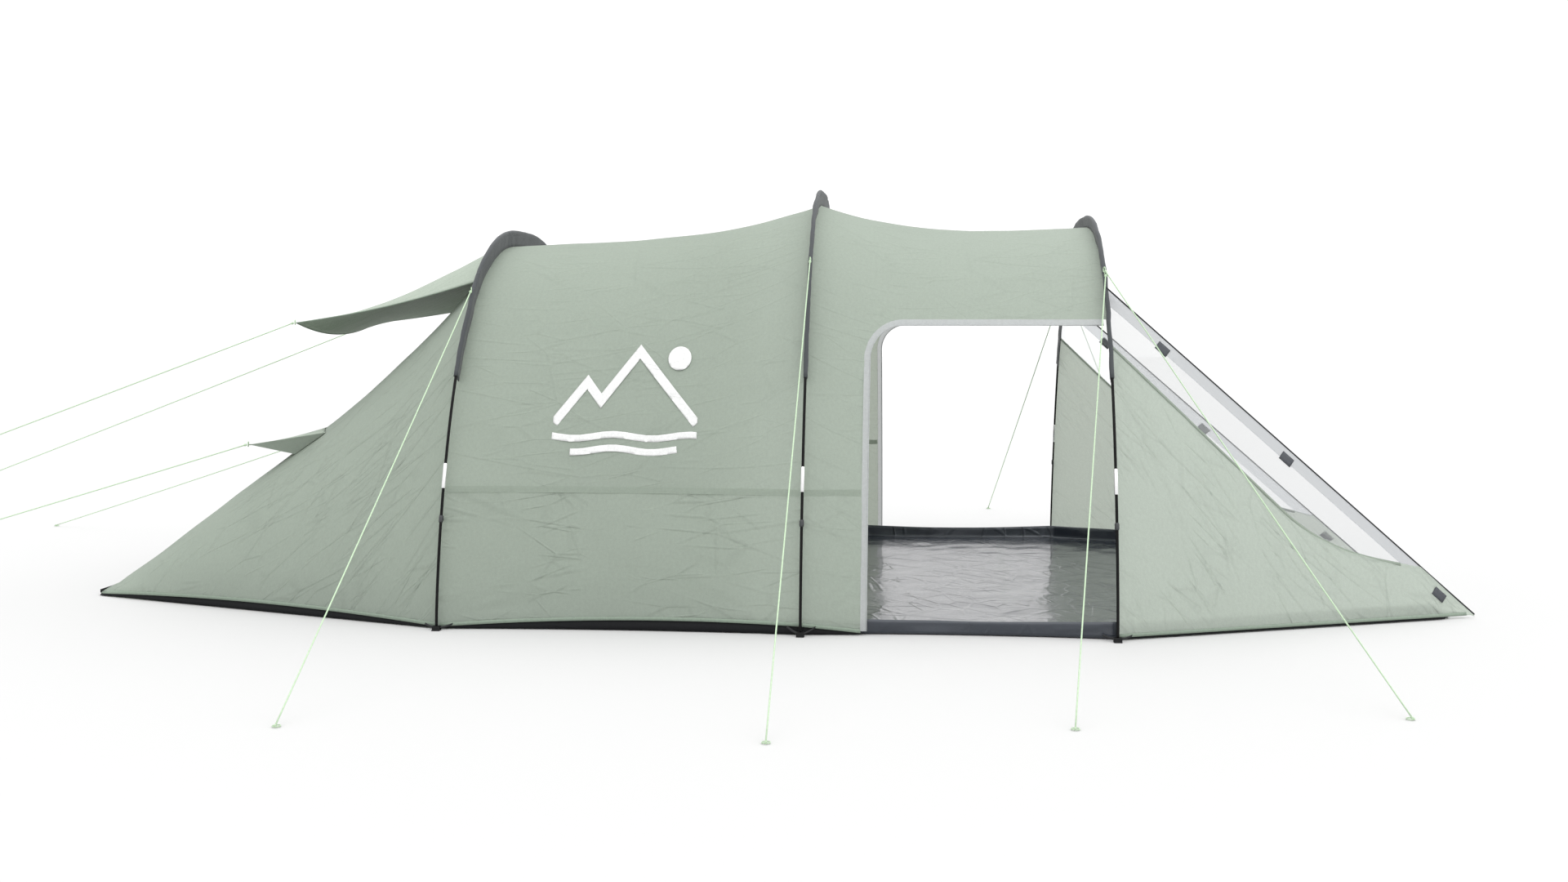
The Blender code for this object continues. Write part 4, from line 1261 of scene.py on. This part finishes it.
def build_inner_tunnel():
    rows = []
    side_gap, crest_gap = INNER_GAP
    for x in np.linspace(INNER_FRONT, INNER_BACK, 60):
        width, crest, exponents = fly_section(x)
        crest = max(crest - crest_gap, 0.13)
        run = superellipse(width - side_gap, crest, exponents, 0.075, None, 110)
        rows.append([(x, y, z) for y, z in run])
    rows = np.array(rows)
    hang("inner_tunnel", rows, slack(rows, 101, 0.004), "fly_rear_roof_cloth")
    # the back wall slopes from the tunnel's last arch down to the floor
    run, taper, foot = BACK_WALL
    slope = []
    for share in steps(24):
        narrow, low = 1.0 - taper * share, 1.0 - share
        arch = [(x - run * share, y * narrow, foot + (z - foot) * low) for x, y, z in rows[-1]]
        slope.append(arch)
    slope = np.array(slope)
    hang("inner_back_wall", slope, slack(slope, 121, 0.003), "inner_tunnel_cloth")


def build_inner_front():
    """The front wall runs in rings of points from the doorway's arch out to the tent's."""
    half, spring, rise = INNER_DOOR
    width, crest, exponents = fly_section(INNER_FRONT)
    arch = [(-half * math.cos(a), spring + rise * math.sin(a)) for a in np.linspace(0, math.pi, 97)]
    legs = np.linspace(0.14, spring - 0.02, 24)
    leg_up, leg_down = [(-half, z) for z in legs], [(half, z) for z in legs[::-1]]
    inside = np.array([*leg_up, *arch, *leg_down])
    outside = superellipse(width - 0.076, crest - 0.086, exponents, 0.14, None, len(inside))
    rows = []
    for share in steps(22):
        billow = 0.010 * math.sin(math.pi * share)
        edge = inside + (outside - inside) * share
        rows.append([(INNER_FRONT + 0.004 + billow, y, z) for y, z in edge])
    rows = np.array(rows)
    relief = slack(rows, 111, 0.0012)
    hang("inner_front_wall", rows, relief, "inner_tunnel_cloth", (1, 0, 0))
    sill = []
    for y in np.linspace(-width + 0.10, width - 0.10, 60):
        sill.append([(INNER_FRONT + 0.004, y, z) for z in (0.072, 0.10, 0.142)])
    sill = cloth("inner_front_sill", sill, INNER_SHADE, None, (1, 0, 0), DOUBLED_THICKNESS)
    fold(sill, "rear")
    zip_path = [(INNER_FRONT + 0.006, y, z) for y, z in inside]
    fold(tube("inner_door_zip", zip_path, ZIP_RADIUS["inner"], CLIP, 8), "rear")


def build_door_roll():
    """The bedroom's door, rolled up along its sill and held by two ties."""
    half = INNER_DOOR[0]

    def centre(y):
        return (INNER_FRONT + 0.034, y, 0.112 - 0.006 * math.cos(math.pi * y / (2 * half)))

    along = np.linspace(-half, half, 60)
    radii = []
    for y in along:
        pinch = sum(math.exp(-(((y - tie) / 0.02) ** 2)) for tie in ROLL_TIES.values())
        uneven = 0.0012 * math.sin(y * 61) + 0.0008 * math.sin(y * 143)
        radii.append((ROLL_RADIUS + uneven) * (1 - 0.16 * pinch))
    roll = tube("inner_door_roll_cloth", [centre(y) for y in along], radii, INNER, 28)
    fold(roll, "rear", "inner_door_roll")
    for side, y in ROLL_TIES.items():
        tie = ring(f"inner_door_tie_{side}", centre(y), 0.0205, 0.0022, WEBBING, (0, 1, 0))
        fold(tie, "rear")


build_inner_tunnel()
build_inner_front()
build_door_roll()


# ---- print ----
PRINT_X = (-0.665, -0.175)
PRINT_Z = (0.545, 0.965)
RIDGE = ((-0.662, 0.665), (-0.560, 0.800), (-0.508, 0.738), (-0.388, 0.902), (-0.178, 0.665))
RIDGE_STROKE = 0.030
SUN = (-0.250, 0.880, 0.040)  # x, z and radius
LAKE = ((0.622, -0.680, -0.160), (0.578, -0.600, -0.240))  # z, first x and last x of each wave
LAKE_STROKE = 0.022


def bar(points, width):
    """The outline of a stroke of even width along points in (x, z)."""
    points = np.array(points, dtype=float)
    left, right = [], []
    for k, spot in enumerate(points):
        sides = []
        for a, b in ((k - 1, k), (k, k + 1)):
            if 0 <= a and b < len(points):
                step = points[b] - points[a]
                step = step / np.linalg.norm(step)
                sides.append(np.array([-step[1], step[0]]))
        normal = sum(sides) / np.linalg.norm(sum(sides))
        grow = width / 2 / max(float(normal @ sides[0]), 0.35)
        left.append(tuple(spot + normal * grow))
        right.append(tuple(spot - normal * grow))
    return left + right[::-1]


def prism(name, outlines, low, high):
    """Closed prisms along Y from outlines in (x, z), to cut with."""
    points, faces = [], []
    for outline in outlines:
        base, count = len(points), len(outline)
        points += [(x, y, z) for y in (low, high) for x, z in outline]
        faces.append(tuple(range(base, base + count)))
        faces.append(tuple(range(base + 2 * count - 1, base + count - 1, -1)))
        for k in range(count):
            j = (k + 1) % count
            faces.append((base + k, base + count + k, base + count + j, base + j))
    item = add_mesh(name, points, faces, [TRIM])
    data = bmesh.new()
    data.from_mesh(item.data)
    bmesh.ops.recalc_face_normals(data, faces=data.faces)
    data.to_mesh(item.data)
    data.free()
    return item


def keep_inside(item, cutter):
    """Leaves what of the piece lies inside the cutter, and removes the cutter."""
    step = item.modifiers.new("cut", "BOOLEAN")
    step.operation, step.solver, step.object = "INTERSECT", "EXACT", cutter
    graph = bpy.context.evaluated_depsgraph_get()
    mesh = bpy.data.meshes.new_from_object(item.evaluated_get(graph))
    item.modifiers.clear()
    item.data = mesh
    bpy.data.objects.remove(cutter, do_unlink=True)


def build_print():
    """A plain print on each side of the rear bay: a mountain ridge, the sun and a lake."""
    rows = []
    for x in np.linspace(*PRINT_X, 50):
        rows.append([on_fly(x, z, 0.0) for z in np.linspace(*PRINT_Z, 44)])
    shapes = [bar(RIDGE, RIDGE_STROKE)]
    for height, left, right in LAKE:
        across = np.linspace(left, right, 15)
        wave = [(x, height + 0.007 * math.sin(24 * x)) for x in across]
        shapes.append(bar(wave, LAKE_STROKE))
    x, z, radius = SUN
    angles = np.linspace(0, 2 * math.pi, 29)[:-1]
    shapes.append([(x + radius * math.cos(a), z + radius * math.sin(a)) for a in angles])
    for side, (turned, sign) in SIDES.items():
        name = f"side_print_{side}"
        out = (0, sign, 0)
        sheet = cloth(name, turned(rows), PRINT, None, out, DOUBLED_THICKNESS, lift=0.0022)
        low, high = sorted((sign * 0.6, sign * 1.4))
        keep_inside(sheet, prism("print_outline", shapes, low, high))
        fold(sheet, "rear")


build_print()

# ---- studio floor and light ----
FLOOR_HALF = 40.0
SKY_STRENGTH = 1.12

floor_shader = Shader("studio_floor", (0.575, 0.575, 0.575, 1.0), 0.9)
floor_shader.shade(floor_shader.noise(0.4, 2.0), 0.995, 1.005)
corners = [(x * FLOOR_HALF, y * FLOOR_HALF, 0) for x, y in ((-1, -1), (1, -1), (1, 1), (-1, 1))]
floor = add_mesh("studio_floor", corners, [(0, 1, 2, 3)], [floor_shader.material])
floor.location.z = -0.0006

world = bpy.data.worlds.new("studio")
world.use_nodes = True
sky = world.node_tree.nodes["Background"].inputs
sky["Color"].default_value = (1.0, 1.0, 1.0, 1.0)
sky["Strength"].default_value = SKY_STRENGTH
scene.world = world
scene.view_settings.view_transform = "Standard"

# a very wide soft light from above, a little to the porch's end and to the near side
lamp = bpy.data.lights.new("overhead", "SUN")
lamp.energy = 2.0
lamp.angle = math.radians(110.0)
overhead = bpy.data.objects.new("overhead", lamp)
overhead.rotation_euler = (math.radians(5.0), math.radians(14.0), 0.0)
scene.collection.objects.link(overhead)
